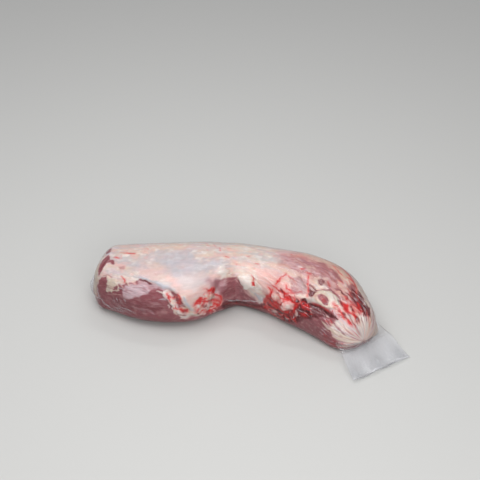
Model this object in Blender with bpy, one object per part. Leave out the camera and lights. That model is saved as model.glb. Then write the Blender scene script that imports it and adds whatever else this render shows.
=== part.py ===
"""A whole raw beef tenderloin, shrunk tight in its clear vacuum bag and lying on its flatter side.

The meat is a loft through a few named cuts along a spine that bends in plan. The bag follows it,
and runs on past both ends: as a narrow curved seal round the head, and as a flat flap with a
straight cut edge beyond the tail. Lobes, lumps and seams between muscles are then raised from the
loft or pressed into it. Metres, +Z up, the head at -X, the front at -Y, and the origin under the
middle of the whole.
"""

from collections import namedtuple

import bmesh
import bpy
import numpy as np
from mathutils import Matrix

# One cut through the meat, square to the spine. x and y are where the spine crosses it, front and
# back are its reach to either side, top is its height, and belly is the height of its widest line.
Cut = namedtuple("Cut", "x y front back top belly")

CUTS = (
    Cut(-0.213, 0.025, 0.034, 0.061, 0.068, 0.028),  # blunt end of the head
    Cut(-0.180, 0.018, 0.048, 0.059, 0.075, 0.032),  # head
    Cut(-0.130, 0.010, 0.064, 0.061, 0.082, 0.035),  # the head's widest
    Cut(-0.076, 0.010, 0.065, 0.064, 0.084, 0.038),  # fat lobe
    Cut(-0.040, 0.016, 0.048, 0.060, 0.082, 0.040),  # end of the lobe
    Cut(-0.008, 0.022, 0.038, 0.052, 0.078, 0.041),  # waist
    Cut(0.040, 0.014, 0.044, 0.050, 0.077, 0.040),  # barrel
    Cut(0.090, -0.006, 0.054, 0.055, 0.078, 0.035),  # side muscle joins
    Cut(0.128, -0.034, 0.052, 0.058, 0.070, 0.030),  # shoulder of the tail
    Cut(0.152, -0.062, 0.046, 0.043, 0.060, 0.024),  # tail
    Cut(0.172, -0.096, 0.034, 0.029, 0.044, 0.018),  # tip of the tail
)
HEAD_ROUNDING = 0.026  # length over which the head closes
TAIL_ROUNDING = 0.036
NOSE_SQUARENESS = 3.0  # 2 is an ellipse, and more is squarer
SIDE_ROUNDNESS = 2.3
UNDER_ROUNDNESS = 3.0
SINK = 0.006  # how far the underside would sag through the table, and is pressed flat

# The bag beyond the meat
FILM = 0.0012
SEAL_REACH = 0.006  # past the head
FLAP_REACH = 0.044  # past the tail
FLAP_NECK = 0.033  # half width where it leaves the meat
FLAP_HALF_WIDTH = 0.048  # at its cut edge
FLAP_REST = 0.004  # height of the cut edge, where the flap has drooped almost to the table
FLAP_WAVE = 0.0024
FLAP_WAVES = 2.5

# A swelling, centred at s along the spine and at an angle in degrees, which is 0 at the front and
# 90 on top. It fades out over length along the meat and girth degrees round it.
Swell = namedtuple("Swell", "s angle rise length girth")

SWELLS = (
    Swell(0.139, 52, 0.0030, 0.034, 34),  # fat lobe
    Swell(0.182, 51, 0.0020, 0.009, 10),  # nub of fat on the lobe's end
    Swell(0.227, 24, 0.0030, 0.011, 12),  # nub of fat on the waist
    Swell(0.279, 12, 0.0045, 0.013, 15),  # torn lumps
    Swell(0.306, 9, 0.0045, 0.012, 14),
    Swell(0.291, 40, 0.0025, 0.014, 14),
    Swell(0.363, 60, 0.0050, 0.014, 15),  # round end of a small muscle
    Swell(0.392, 72, 0.0025, 0.012, 20),  # bundle of strands
    Swell(0.330, 120, 0.0030, 0.045, 26),  # shoulder
    Swell(0.070, 150, 0.0025, 0.040, 26),  # back of the head
)

# A seam between muscles: a groove along points (s, angle in degrees).
Seam = namedtuple("Seam", "depth width points")

SEAMS = (
    Seam(0.0040, 0.0050, ((0.186, 66), (0.181, 40), (0.176, 16), (0.164, -12))),  # lobe's end
    Seam(0.0025, 0.0040, ((0.115, 36), (0.122, 18), (0.134, 0), (0.140, -12))),  # torn edge of fat
    Seam(0.0030, 0.0045, ((0.306, -8), (0.328, 16), (0.341, 34), (0.352, 42))),  # under the lumps
    Seam(0.0025, 0.0040, ((0.318, 74), (0.334, 62), (0.348, 66), (0.352, 72))),  # round the small muscle
    Seam(0.0025, 0.0040, ((0.350, 36), (0.372, 46), (0.392, 44))),  # band below it
    Seam(0.0035, 0.0060, ((0.050, 152), (0.150, 158), (0.250, 150), (0.340, 156))),  # side strap
)

# The sheet of fat over the head ends along this line, and stands above the muscle in front of it.
FAT_EDGE = ((0.030, 40), (0.058, 50), (0.076, 54), (0.097, 48), (0.118, 34), (0.136, -4))
FAT_RISE = 0.0022
FAT_EDGE_SOFTNESS = 6  # degrees

GIRTH_RADIUS = 0.055  # turns an angle round the meat into a length
SMOOTH_END = 0.040  # at either end, the relief fades out over this length

HEAD_RINGS = 18
MIDDLE_RINGS = 84
TAIL_RINGS = 16
FLAP_RINGS = 10
SIDES = 44
ROOT_SHARE = np.cos(2 * np.pi / SIDES) ** (2 / SIDE_ROUNDNESS)  # where a fin of film starts
NOSE_SHARE = 0.3  # of the film's width, taken by the points of the meat where it is narrowest


def smooth_through(knots, values, where):
    """A cubic through values at knots, read at where. Past either end it runs on straight."""
    knots, values, where = (np.asarray(v, float) for v in (knots, values, where))
    slopes = np.gradient(values, knots)
    i = np.clip(np.searchsorted(knots, where, side="right") - 1, 0, len(knots) - 2)
    span = knots[i + 1] - knots[i]
    q = (where - knots[i]) / span
    p = np.clip(q, 0, 1)
    curve = (
        (2 * p**3 - 3 * p**2 + 1) * values[i]
        + (p**3 - 2 * p**2 + p) * span * slopes[i]
        + (3 * p**2 - 2 * p**3) * values[i + 1]
        + (p**3 - p**2) * span * slopes[i + 1]
    )
    past = np.where(q > 1, (q - 1) * slopes[-1], 0) + np.where(q < 0, q * slopes[0], 0)
    return curve + past * span


STEPS = [np.hypot(b.x - a.x, b.y - a.y) for a, b in zip(CUTS, CUTS[1:])]
KNOTS = np.concatenate([[0], np.cumsum(STEPS)])
MEAT_LENGTH = KNOTS[-1]


def along(name, s):
    """One of the cuts' sizes at distance s from the head, along the spine."""
    return smooth_through(KNOTS, [getattr(cut, name) for cut in CUTS], s)


def ease(q):
    """0 up to q = 0, 1 from q = 1, and a smooth passage between."""
    q = np.clip(q, 0, 1)
    return q * q * (3 - 2 * q)


def nose(distance, rounding):
    """0 at the end of a rounded nose, and 1 from rounding onwards."""
    left = 1 - np.clip(distance / rounding, 0, 1)
    return np.sqrt(1 - left**NOSE_SQUARENESS)


def spine(s):
    """(x, y) of the spine at s, and its direction in plan."""
    ahead = 0.001
    x, y = along("x", s), along("y", s)
    dx, dy = along("x", s + ahead) - x, along("y", s + ahead) - y
    size = np.hypot(dx, dy)
    return x, y, dx / size, dy / size


def flap_half_width(s):
    """Half the width of the flat end of the bag, which spreads from its neck to its cut edge."""
    past = np.clip((s - MEAT_LENGTH + TAIL_ROUNDING) / (FLAP_REACH + TAIL_ROUNDING), 0, 1)
    return np.where(past > 0, FLAP_NECK + (FLAP_HALF_WIDTH - FLAP_NECK) * past, 0)


def film_level(s, side):
    """Height of the bag's middle: the meat's widest line, then the flap drooping in soft waves."""
    belly = along("belly", np.clip(s, 0, MEAT_LENGTH))
    wave = FLAP_WAVE * np.sin(FLAP_WAVES * np.pi * side / FLAP_HALF_WIDTH)
    return belly + (FLAP_REST + wave - belly) * ease((s - MEAT_LENGTH) / FLAP_REACH)


def reach_across(s, angle, bare, film):
    """How far out a point at this angle is, on a cut of the meat bare wide inside film wide.

    Where the film is the wider, the last step of the angle spans the fin of film, and the meat
    takes the rest. Past the tail, the points spread out again over the flat flap.
    """
    spread = np.abs(np.cos(angle)) ** (2 / SIDE_ROUNDNESS)
    least = NOSE_SHARE + (0.95 - NOSE_SHARE) * ease((s - MEAT_LENGTH) / (0.3 * FLAP_REACH))
    root = np.minimum(film, np.maximum(bare / ROOT_SHARE, least * film))
    outer = (spread - ROOT_SHARE) / (1 - ROOT_SHARE)
    fin = root * ROOT_SHARE + (film - root * ROOT_SHARE) * outer
    return np.sign(np.cos(angle)) * np.where(spread < ROOT_SHARE, root * spread, fin)


def loft(s, angle):
    """Points of the bag's outside, before lobes and seams. angle turns from front over the top."""
    s, angle = np.broadcast_arrays(s, angle)
    inside = np.clip(s, 0, MEAT_LENGTH)
    tail = nose(MEAT_LENGTH - inside, TAIL_ROUNDING)
    closing = nose(inside, HEAD_ROUNDING) * tail
    sealed = nose(s + SEAL_REACH, HEAD_ROUNDING + SEAL_REACH) * tail
    full = np.where(np.cos(angle) > 0, along("front", inside), along("back", inside))
    film = np.maximum(full * sealed, flap_half_width(s))
    side = reach_across(s, angle, full * closing, film)
    share = np.clip(np.abs(side) / np.maximum(full * closing, 1e-6), 0, 1)
    over = (1 - share**SIDE_ROUNDNESS) ** (1 / SIDE_ROUNDNESS)
    under = (1 - share**UNDER_ROUNDNESS) ** (1 / UNDER_ROUNDNESS)
    belly = along("belly", inside)
    rise = np.maximum((along("top", inside) - belly) * closing * over, FILM / 2)
    drop = np.maximum((belly + SINK) * closing * under, FILM / 2)
    up = np.sin(angle)
    height = np.where(up > 1e-9, rise, 0) - np.where(up < -1e-9, drop, 0)
    z = np.maximum(film_level(s, side) + height, 0)
    x, y, dx, dy = spine(s)
    # The front is to the right of someone who walks from the head to the tail.
    return np.stack([x + side * dy, y - side * dx, z], axis=-1)


def turn_between(angle, centre):
    """Degrees from centre to angle, by the shorter way round."""
    return (angle - centre + 180) % 360 - 180


def distance_to_line(s, angle, points):
    """Metres along the surface from (s, angle) to a line through points of the same kind."""
    scale = np.radians(GIRTH_RADIUS)
    nearest = np.full(np.shape(s), 1.0)
    for (s0, a0), (s1, a1) in zip(points, points[1:]):
        ds, da = s1 - s0, (a1 - a0) * scale
        gap_s, gap_a = s - s0, turn_between(angle, a0) * scale
        share = np.clip((gap_s * ds + gap_a * da) / (ds * ds + da * da), 0, 1)
        nearest = np.minimum(nearest, np.hypot(gap_s - share * ds, gap_a - share * da))
    return nearest


def fat_sheet(s, angle):
    """1 on the sheet of fat that covers the meat, 0 on the bare muscle at the head's front."""
    ends, angles = zip(*FAT_EDGE)
    edge = smooth_through(ends, angles, np.clip(s, ends[0], ends[-1]))
    above = turn_between(angle, 90) - (edge - 90)
    covered = 1 / (1 + np.exp(-above / FAT_EDGE_SOFTNESS))
    fade = np.clip((ends[-1] + 0.02 - s) / 0.03, 0, 1) * np.clip(s / 0.03, 0, 1)
    return np.where(turn_between(angle, 90) < 0, 1 - (1 - covered) * fade, 1)


def relief(s, angle):
    """How far the lobes stand out of the loft, or the seams sink into it."""
    height = FAT_RISE * (fat_sheet(s, angle) - 1)
    for swell in SWELLS:
        turn = turn_between(angle, swell.angle) / swell.girth
        height = height + swell.rise * np.exp(-(((s - swell.s) / swell.length) ** 2) - turn**2)
    for seam in SEAMS:
        gap = distance_to_line(s, angle, seam.points)
        height = height - seam.depth * np.exp(-((gap / seam.width) ** 2))
    return height * ease(s / SMOOTH_END) * ease((MEAT_LENGTH - s) / SMOOTH_END)


def surface(s, angle):
    """Points of the bag's outside on a grid of s down the rows and angle along them."""
    s, angle = np.broadcast_arrays(s, angle)
    points = loft(s, angle)
    step = 1e-4
    lengthwise = loft(s + step, angle) - loft(s - step, angle)
    round_it = loft(s, angle + step / GIRTH_RADIUS) - loft(s, angle - step / GIRTH_RADIUS)
    outward = np.cross(lengthwise, round_it)
    outward = outward / (np.linalg.norm(outward, axis=-1, keepdims=True) + 1e-12)
    points = points + outward * relief(s, np.degrees(angle))[..., None]
    points[..., 2] = np.maximum(points[..., 2], 0)
    return points


def ring_places():
    """Distances of the rings along the spine, closer together where the ends round off."""
    nose_end, tail_start = HEAD_ROUNDING, MEAT_LENGTH - TAIL_ROUNDING
    head = -SEAL_REACH + 0.0003 + (nose_end + SEAL_REACH) * np.linspace(0, 1, HEAD_RINGS) ** 1.7
    middle = np.linspace(head[-1], tail_start, MIDDLE_RINGS)
    tail = MEAT_LENGTH - TAIL_ROUNDING * np.linspace(1, 0, TAIL_RINGS) ** 1.5
    flap = np.linspace(MEAT_LENGTH, MEAT_LENGTH + FLAP_REACH, FLAP_RINGS)
    return np.concatenate([head, middle[1:], tail[1:], flap[1:]])


def flatten_underside(mesh):
    """Joins the facets that lie on the table into one flat face."""
    work = bmesh.new()
    work.from_mesh(mesh)
    lying = [face for face in work.faces if all(vertex.co.z == 0 for vertex in face.verts)]
    bmesh.ops.dissolve_faces(work, faces=lying, use_verts=False)
    work.to_mesh(mesh)
    work.free()


def centre_on_origin(mesh):
    """Moves the mesh so that the middle of its box is over the origin."""
    corners = np.array([vertex.co for vertex in mesh.vertices])
    middle = (corners.min(0) + corners.max(0)) / 2
    mesh.transform(Matrix.Translation((-middle[0], -middle[1], 0)))


def build_bag():
    """The whole piece as one closed solid."""
    angles = np.linspace(0, 2 * np.pi, SIDES, endpoint=False)
    points = surface(ring_places()[:, None], angles[None, :])
    rings = len(points)
    faces = [tuple(range(SIDES)), tuple(reversed(range((rings - 1) * SIDES, rings * SIDES)))]
    for i in range(rings - 1):
        for j in range(SIDES):
            here, beside = i * SIDES + j, i * SIDES + (j + 1) % SIDES
            faces.append((here, here + SIDES, beside + SIDES, beside))
    mesh = bpy.data.meshes.new("vacuum_bag")
    mesh.from_pydata(points.reshape(-1, 3).tolist(), [], faces)
    flatten_underside(mesh)
    centre_on_origin(mesh)
    mesh.shade_smooth()
    bag = bpy.data.objects.new("vacuum_bag", mesh)
    bpy.context.scene.collection.objects.link(bag)
    return bag


def fat_and_meat():
    """Pale fat under clear film, in one plain finish."""
    material = bpy.data.materials.new("meat_in_film")
    material.use_nodes = True
    shader = material.node_tree.nodes["Principled BSDF"]
    shader.inputs["Base Color"].default_value = (0.62, 0.44, 0.40, 1)
    shader.inputs["Roughness"].default_value = 0.3
    shader.inputs["Metallic"].default_value = 0
    return material


def main():
    for thing in list(bpy.data.objects):
        bpy.data.objects.remove(thing)
    bag = build_bag()
    bag.data.materials.append(fat_and_meat())


main()
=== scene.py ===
"""A whole raw beef tenderloin under its shrunk clear bag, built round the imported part.

The meat is the part's own loft at a fine spacing, with fat, muscle, silverskin, torn ends and blood
laid onto it. The film follows it a little further out, with its wrinkles, seal and flap.
"""

import math
from collections import namedtuple

import bpy
import numpy as np
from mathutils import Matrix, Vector


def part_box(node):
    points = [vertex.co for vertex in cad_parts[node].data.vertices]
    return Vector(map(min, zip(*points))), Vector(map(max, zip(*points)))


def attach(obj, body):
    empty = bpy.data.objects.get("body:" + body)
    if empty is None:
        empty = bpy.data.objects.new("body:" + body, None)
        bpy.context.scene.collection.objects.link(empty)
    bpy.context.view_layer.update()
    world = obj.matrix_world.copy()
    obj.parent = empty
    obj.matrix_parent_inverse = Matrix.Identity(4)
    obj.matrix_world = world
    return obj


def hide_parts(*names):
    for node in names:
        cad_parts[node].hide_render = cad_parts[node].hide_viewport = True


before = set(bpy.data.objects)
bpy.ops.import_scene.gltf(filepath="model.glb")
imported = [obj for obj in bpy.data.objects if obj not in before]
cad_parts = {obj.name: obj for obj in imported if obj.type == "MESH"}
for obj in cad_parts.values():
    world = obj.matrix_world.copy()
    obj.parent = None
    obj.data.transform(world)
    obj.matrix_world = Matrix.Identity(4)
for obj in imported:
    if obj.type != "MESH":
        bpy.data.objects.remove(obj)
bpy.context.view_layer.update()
NODE = "vacuum_bag"

bl_info = {
    "name": "Vacuum-packed tenderloin",
    "version": (1, 0, 0),
    "blender": (4, 5, 0),
    "location": "3D View > Sidebar > Tenderloin",
    "description": "Adds a raw beef tenderloin, the clear film shrunk on it, and a studio to see it in",
    "category": "Add Mesh",
}

# The loft, as the part has it, in metres. x and y are where the spine crosses a cut, front and back
# are its reach to either side, top is its height, and belly is the height of its widest line.
Cut = namedtuple("Cut", "x y front back top belly")
CUTS = (
    Cut(-0.213, 0.025, 0.034, 0.061, 0.068, 0.028),
    Cut(-0.180, 0.018, 0.048, 0.059, 0.075, 0.032),
    Cut(-0.130, 0.010, 0.064, 0.061, 0.082, 0.035),
    Cut(-0.076, 0.010, 0.065, 0.064, 0.084, 0.038),
    Cut(-0.040, 0.016, 0.048, 0.060, 0.082, 0.040),
    Cut(-0.008, 0.022, 0.038, 0.052, 0.078, 0.041),
    Cut(0.040, 0.014, 0.044, 0.050, 0.077, 0.040),
    Cut(0.090, -0.006, 0.054, 0.055, 0.078, 0.035),
    Cut(0.128, -0.034, 0.052, 0.058, 0.070, 0.030),
    Cut(0.152, -0.062, 0.046, 0.043, 0.060, 0.024),
    Cut(0.172, -0.096, 0.034, 0.029, 0.044, 0.018),
)
HEAD_ROUNDING = 0.026  # length over which the head closes
TAIL_ROUNDING = 0.036
NOSE_SQUARENESS = 3.0  # 2 is an ellipse, and more is squarer
SIDE_ROUNDNESS = 2.3
UNDER_ROUNDNESS = 3.0
SINK = 0.006  # how far the underside would sag through the table, and is pressed flat

# The bag beyond the meat
FILM = 0.0012
SEAL_REACH = 0.006  # past the head
FLAP_REACH = 0.044  # past the tail
FLAP_NECK = 0.033  # half width where it leaves the meat
FLAP_HALF_WIDTH = 0.048  # at its cut edge
FLAP_REST = 0.004  # height of the cut edge
FLAP_WAVE = 0.0024
FLAP_WAVES = 2.5
PART_SIDES = 44  # points round one ring of the part
ROOT_SHARE = math.cos(2 * math.pi / PART_SIDES) ** (2 / SIDE_ROUNDNESS)  # where a fin of film starts
NOSE_SHARE = 0.3  # of the film's width, taken by the points of the meat where it is narrowest
FLAP_SHARE = 0.95  # the same on the flap
FLAP_SPREAD = 0.3  # of the flap's length, over which the one turns into the other

# A swelling is centred at s along the spine and at an angle in degrees, which is 0 at the front and
# 90 on top. It fades out over length along the meat and girth degrees round it.
Swell = namedtuple("Swell", "s angle rise length girth")
SWELLS = (
    Swell(0.139, 52, 0.0030, 0.034, 34),
    Swell(0.182, 51, 0.0020, 0.009, 10),
    Swell(0.227, 24, 0.0030, 0.011, 12),
    Swell(0.279, 12, 0.0045, 0.013, 15),
    Swell(0.306, 9, 0.0045, 0.012, 14),
    Swell(0.291, 40, 0.0025, 0.014, 14),
    Swell(0.363, 60, 0.0050, 0.014, 15),
    Swell(0.392, 72, 0.0025, 0.012, 20),
    Swell(0.330, 120, 0.0030, 0.045, 26),
    Swell(0.070, 150, 0.0025, 0.040, 26),
)
# A seam between muscles, along points of (s, angle).
Seam = namedtuple("Seam", "depth width points")
SEAMS = (
    Seam(0.0040, 0.0050, ((0.186, 66), (0.181, 40), (0.176, 16), (0.164, -12))),
    Seam(0.0025, 0.0040, ((0.115, 36), (0.122, 18), (0.134, 0), (0.140, -12))),
    Seam(0.0030, 0.0045, ((0.306, -8), (0.328, 16), (0.341, 34), (0.352, 42))),
    Seam(0.0025, 0.0040, ((0.318, 74), (0.334, 62), (0.348, 66), (0.352, 72))),
    Seam(0.0025, 0.0040, ((0.350, 36), (0.372, 46), (0.392, 44))),
    Seam(0.0035, 0.0060, ((0.050, 152), (0.150, 158), (0.250, 150), (0.340, 156))),
)
# Where the edge of the fat sheet runs on the head, as (s, angle).
FAT_EDGE = ((0.030, 40), (0.058, 50), (0.076, 54), (0.097, 48), (0.118, 34), (0.136, -4))
FAT_RISE = 0.0022
FAT_EDGE_SOFTNESS = 6  # degrees
FAT_EDGE_FADE = 0.03  # length over which the step fades at either end
FAT_EDGE_PAST = 0.02  # how far past its last point it is gone
SMOOTH_END = 0.040  # length at either end over which the relief dies away
GIRTH_RADIUS = 0.055  # turns angles into distances round the meat
LEAST_WIDTH, ALMOST_NONE = 1e-6, 1e-9  # stand in for nothing, which can't be divided by

# The photograph's camera, in the loft's own frame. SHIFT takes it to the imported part's.
EYE = Vector((0.0, -1.0818, 0.9820))
EYE_PITCH = math.radians(38.5)
PHOTO_SIDE = 480
PHOTO_FOCAL = 987  # pixels
SENSOR = 36  # mm

MM = 0.001
ROUND = 2 * math.pi * GIRTH_RADIUS / MM  # mm from v to the same v again
MM_PER_DEGREE = math.radians(GIRTH_RADIUS / MM)

# Spacing of a grid in mm: along the piece, over the front and top, down the back, and underneath.
Spacing = namedtuple("Spacing", "length front back under")
MEAT_SPACING = Spacing(1.06, 1.0, 1.8, 5.0)
FILM_SPACING = Spacing(1.0, 1.2, 2.2, 6.0)
PHOTO_SPACING = Spacing(1.0, 1.0, 3.0, 6.0)
STRETCHES = (-34, 142, 208, 326)  # degrees round the piece where those three begin and end
END_INSET = 0.0003  # how far the first and last rings are from the very ends
# Rings over each end's rounding, and the power that crowds them towards the end.
HEAD_RINGS, HEAD_CROWDING = 40, 1.8
SEAL_RINGS, SEAL_CROWDING = 52, 1.7
TAIL_RINGS, MEAT_TAIL_CROWDING, FILM_TAIL_CROWDING = 46, 1.6, 1.5
FLAP_RINGS = 40
MEASURED_SPACING, MEASURED_SIDES = 2.0, 176  # of the grid that only finds the piece's box


def smooth_through(knots, values, where):
    """A cubic through values at knots, read at where. Past either end it runs on straight."""
    knots, values, where = (np.asarray(v, float) for v in (knots, values, where))
    slopes = np.gradient(values, knots)
    i = np.clip(np.searchsorted(knots, where, side="right") - 1, 0, len(knots) - 2)
    span = knots[i + 1] - knots[i]
    q = (where - knots[i]) / span
    p = np.clip(q, 0, 1)
    curve = (
        (2 * p**3 - 3 * p**2 + 1) * values[i]
        + (p**3 - 2 * p**2 + p) * span * slopes[i]
        + (3 * p**2 - 2 * p**3) * values[i + 1]
        + (p**3 - p**2) * span * slopes[i + 1]
    )
    past = np.where(q > 1, (q - 1) * slopes[-1], 0) + np.where(q < 0, q * slopes[0], 0)
    return curve + past * span


STEPS = [math.hypot(b.x - a.x, b.y - a.y) for a, b in zip(CUTS, CUTS[1:])]
KNOTS = np.concatenate([[0], np.cumsum(STEPS)])
MEAT_LENGTH = float(KNOTS[-1])


def along(name, s):
    """One measure of the cuts, at s along the spine."""
    return smooth_through(KNOTS, [getattr(cut, name) for cut in CUTS], s)


def ease(q):
    q = np.clip(q, 0, 1)
    return q * q * (3 - 2 * q)


def nose(distance, rounding):
    """Share of the full width at a distance from an end that closes over rounding."""
    left = 1 - np.clip(distance / rounding, 0, 1)
    return np.sqrt(1 - left**NOSE_SQUARENESS)


def spine(s):
    """The spine's place at s, and its direction."""
    ahead = MM
    x, y = along("x", s), along("y", s)
    dx, dy = along("x", s + ahead) - x, along("y", s + ahead) - y
    size = np.hypot(dx, dy)
    return x, y, dx / size, dy / size


def flap_half_width(s):
    past = np.clip((s - MEAT_LENGTH + TAIL_ROUNDING) / (FLAP_REACH + TAIL_ROUNDING), 0, 1)
    return np.where(past > 0, FLAP_NECK + (FLAP_HALF_WIDTH - FLAP_NECK) * past, 0)


def film_level(s, side):
    """Height of the film's middle layer, which droops and waves on the flap."""
    belly = along("belly", np.clip(s, 0, MEAT_LENGTH))
    wave = FLAP_WAVE * np.sin(FLAP_WAVES * np.pi * side / FLAP_HALF_WIDTH)
    return belly + (FLAP_REST + wave - belly) * ease((s - MEAT_LENGTH) / FLAP_REACH)


def reach_across(s, angle, bare, film):
    """How far to the side a point is, from the bare meat's half width and the film's."""
    spread = np.abs(np.cos(angle)) ** (2 / SIDE_ROUNDNESS)
    past = ease((s - MEAT_LENGTH) / (FLAP_SPREAD * FLAP_REACH))
    least = NOSE_SHARE + (FLAP_SHARE - NOSE_SHARE) * past
    root = np.minimum(film, np.maximum(bare / ROOT_SHARE, least * film))
    outer = (spread - ROOT_SHARE) / (1 - ROOT_SHARE)
    fin = root * ROOT_SHARE + (film - root * ROOT_SHARE) * outer
    return np.sign(np.cos(angle)) * np.where(spread < ROOT_SHARE, root * spread, fin)


def loft(s, angle, bag):
    """Points of the bag, or of the meat alone. angle turns from the front over the top."""
    s, angle = np.broadcast_arrays(s, angle)
    inside = np.clip(s, 0, MEAT_LENGTH)
    tail = nose(MEAT_LENGTH - inside, TAIL_ROUNDING)
    closing = nose(inside, HEAD_ROUNDING) * tail
    full = np.where(np.cos(angle) > 0, along("front", inside), along("back", inside))
    thin = FILM / 2 if bag else 0
    if bag:
        sealed = nose(s + SEAL_REACH, HEAD_ROUNDING + SEAL_REACH) * tail
        film = np.maximum(full * sealed, flap_half_width(s))
        side = reach_across(s, angle, full * closing, film)
    else:
        spread = np.abs(np.cos(angle)) ** (2 / SIDE_ROUNDNESS)
        side = np.sign(np.cos(angle)) * spread * full * closing
    share = np.clip(np.abs(side) / np.maximum(full * closing, LEAST_WIDTH), 0, 1)
    over = (1 - share**SIDE_ROUNDNESS) ** (1 / SIDE_ROUNDNESS)
    under = (1 - share**UNDER_ROUNDNESS) ** (1 / UNDER_ROUNDNESS)
    belly = along("belly", inside)
    rise = np.maximum((along("top", inside) - belly) * closing * over, thin)
    drop = np.maximum((belly + SINK) * closing * under, thin)
    up = np.sin(angle)
    height = np.where(up > ALMOST_NONE, rise, 0) - np.where(up < -ALMOST_NONE, drop, 0)
    z = np.maximum(film_level(s, side) + height, 0)
    x, y, dx, dy = spine(s)
    return np.stack([x + side * dy, y - side * dx, z], axis=-1)


def turn_between(angle, centre):
    """Degrees from centre to angle, the shorter way round."""
    return (angle - centre + 180) % 360 - 180


def distance_to_line(s, angle, points):
    """Metres over the meat from (s, angle) to a line of such points."""
    scale = math.radians(GIRTH_RADIUS)
    nearest = np.full(np.shape(s), np.inf)
    for (s0, a0), (s1, a1) in zip(points, points[1:]):
        ds, da = s1 - s0, (a1 - a0) * scale
        gap_s, gap_a = s - s0, turn_between(angle, a0) * scale
        share = np.clip((gap_s * ds + gap_a * da) / (ds * ds + da * da), 0, 1)
        nearest = np.minimum(nearest, np.hypot(gap_s - share * ds, gap_a - share * da))
    return nearest


def fat_sheet(s, angle):
    """1 where the sheet of fat lies, 0 on the bare muscle below its edge."""
    ends, angles = zip(*FAT_EDGE)
    edge = smooth_through(ends, angles, np.clip(s, ends[0], ends[-1]))
    above = turn_between(angle, 90) - (edge - 90)
    covered = 1 / (1 + np.exp(-above / FAT_EDGE_SOFTNESS))
    fade = np.clip((ends[-1] + FAT_EDGE_PAST - s) / FAT_EDGE_FADE, 0, 1)
    fade = fade * np.clip(s / FAT_EDGE_FADE, 0, 1)
    return np.where(turn_between(angle, 90) < 0, 1 - (1 - covered) * fade, 1)


def lobes(s, angle):
    """The part's own relief in metres: lobes out of the loft, seams into it."""
    height = FAT_RISE * (fat_sheet(s, angle) - 1)
    for swell in SWELLS:
        turn = turn_between(angle, swell.angle) / swell.girth
        height = height + swell.rise * np.exp(-(((s - swell.s) / swell.length) ** 2) - turn**2)
    for seam in SEAMS:
        gap = distance_to_line(s, angle, seam.points)
        height = height - seam.depth * np.exp(-((gap / seam.width) ** 2))
    return height * ease(s / SMOOTH_END) * ease((MEAT_LENGTH - s) / SMOOTH_END)


def outward(s, angle, bag):
    """Unit normals of the loft."""
    step, tiny = 1e-4, 1e-12
    lengthwise = loft(s + step, angle, bag) - loft(s - step, angle, bag)
    turn = step / GIRTH_RADIUS
    round_it = loft(s, angle + turn, bag) - loft(s, angle - turn, bag)
    normal = np.cross(lengthwise, round_it)
    return normal / (np.linalg.norm(normal, axis=-1, keepdims=True) + tiny)


class Unrolled:
    """A grid over the piece. u runs along it and v round it from the top, to the front, in mm."""

    def __init__(self, s, angle, bag):
        self.s, self.angle = np.broadcast_arrays(s[:, None], angle[None, :])
        self.u = self.s / MM
        self.v = -turn_between(np.degrees(self.angle), 90) * MM_PER_DEGREE
        self.base = loft(self.s, self.angle, bag)
        self.normal = outward(self.s, self.angle, bag)
        self.lobes = lobes(self.s, np.degrees(self.angle))

    def raised(self, height):
        """Points of the grid, lifted by the part's relief and by height in metres."""
        points = self.base + self.normal * (self.lobes + height)[..., None]
        points[..., 2] = np.maximum(points[..., 2], 0)
        return points


def angles_round(spacing):
    """Angles in radians at a spacing over the front and top, down the back, and underneath."""
    bounds = np.radians(STRETCHES)
    counts = np.diff(bounds) * GIRTH_RADIUS / MM / spacing[1:]
    parts = [np.linspace(a, b, int(n), endpoint=False) for a, b, n in zip(bounds, bounds[1:], counts)]
    return np.concatenate(parts)


def ring_places(start, end, spacing, head_count, head_crowding, tail_crowding):
    """Distances of rings from start to end, closer where the ends round off."""
    head = start + (HEAD_ROUNDING - start) * np.linspace(0, 1, head_count) ** head_crowding
    tail = end - TAIL_ROUNDING * np.linspace(1, 0, TAIL_RINGS) ** tail_crowding
    middle = np.linspace(head[-1], tail[0], int((tail[0] - head[-1]) / (spacing * MM)))
    return np.concatenate([head[:-1], middle, tail[1:]])


def bag_rings(spacing):
    seal = END_INSET - SEAL_REACH
    body = ring_places(seal, MEAT_LENGTH, spacing, SEAL_RINGS, SEAL_CROWDING, FILM_TAIL_CROWDING)
    flap = np.linspace(MEAT_LENGTH, MEAT_LENGTH + FLAP_REACH, FLAP_RINGS)
    return np.concatenate([body, flap[1:]])


def meat_grid(spacing):
    ends = END_INSET, MEAT_LENGTH - END_INSET
    places = ring_places(*ends, spacing.length, HEAD_RINGS, HEAD_CROWDING, MEAT_TAIL_CROWDING)
    return Unrolled(places, angles_round(spacing), False)


def film_grid(spacing):
    return Unrolled(bag_rings(spacing.length), angles_round(spacing), True)


def shift_to_part():
    """From the loft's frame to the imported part's, whose origin is under the middle of its box."""
    turns = np.linspace(0, 2 * math.pi, MEASURED_SIDES, endpoint=False)
    points = Unrolled(bag_rings(MEASURED_SPACING), turns, True).raised(0).reshape(-1, 3)
    low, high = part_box(NODE)
    middle = (points.min(0) + points.max(0)) / 2
    return Vector(((low.x + high.x) / 2 - middle[0], (low.y + high.y) / 2 - middle[1], 0))


SHIFT = shift_to_part()


def wrap(v):
    """v brought to within half a turn of the top."""
    return (v + ROUND / 2) % ROUND - ROUND / 2


# A place on the meat by mm along the spine and degrees round it, for what the photograph hides.
Skin = namedtuple("Skin", "s angle")


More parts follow.
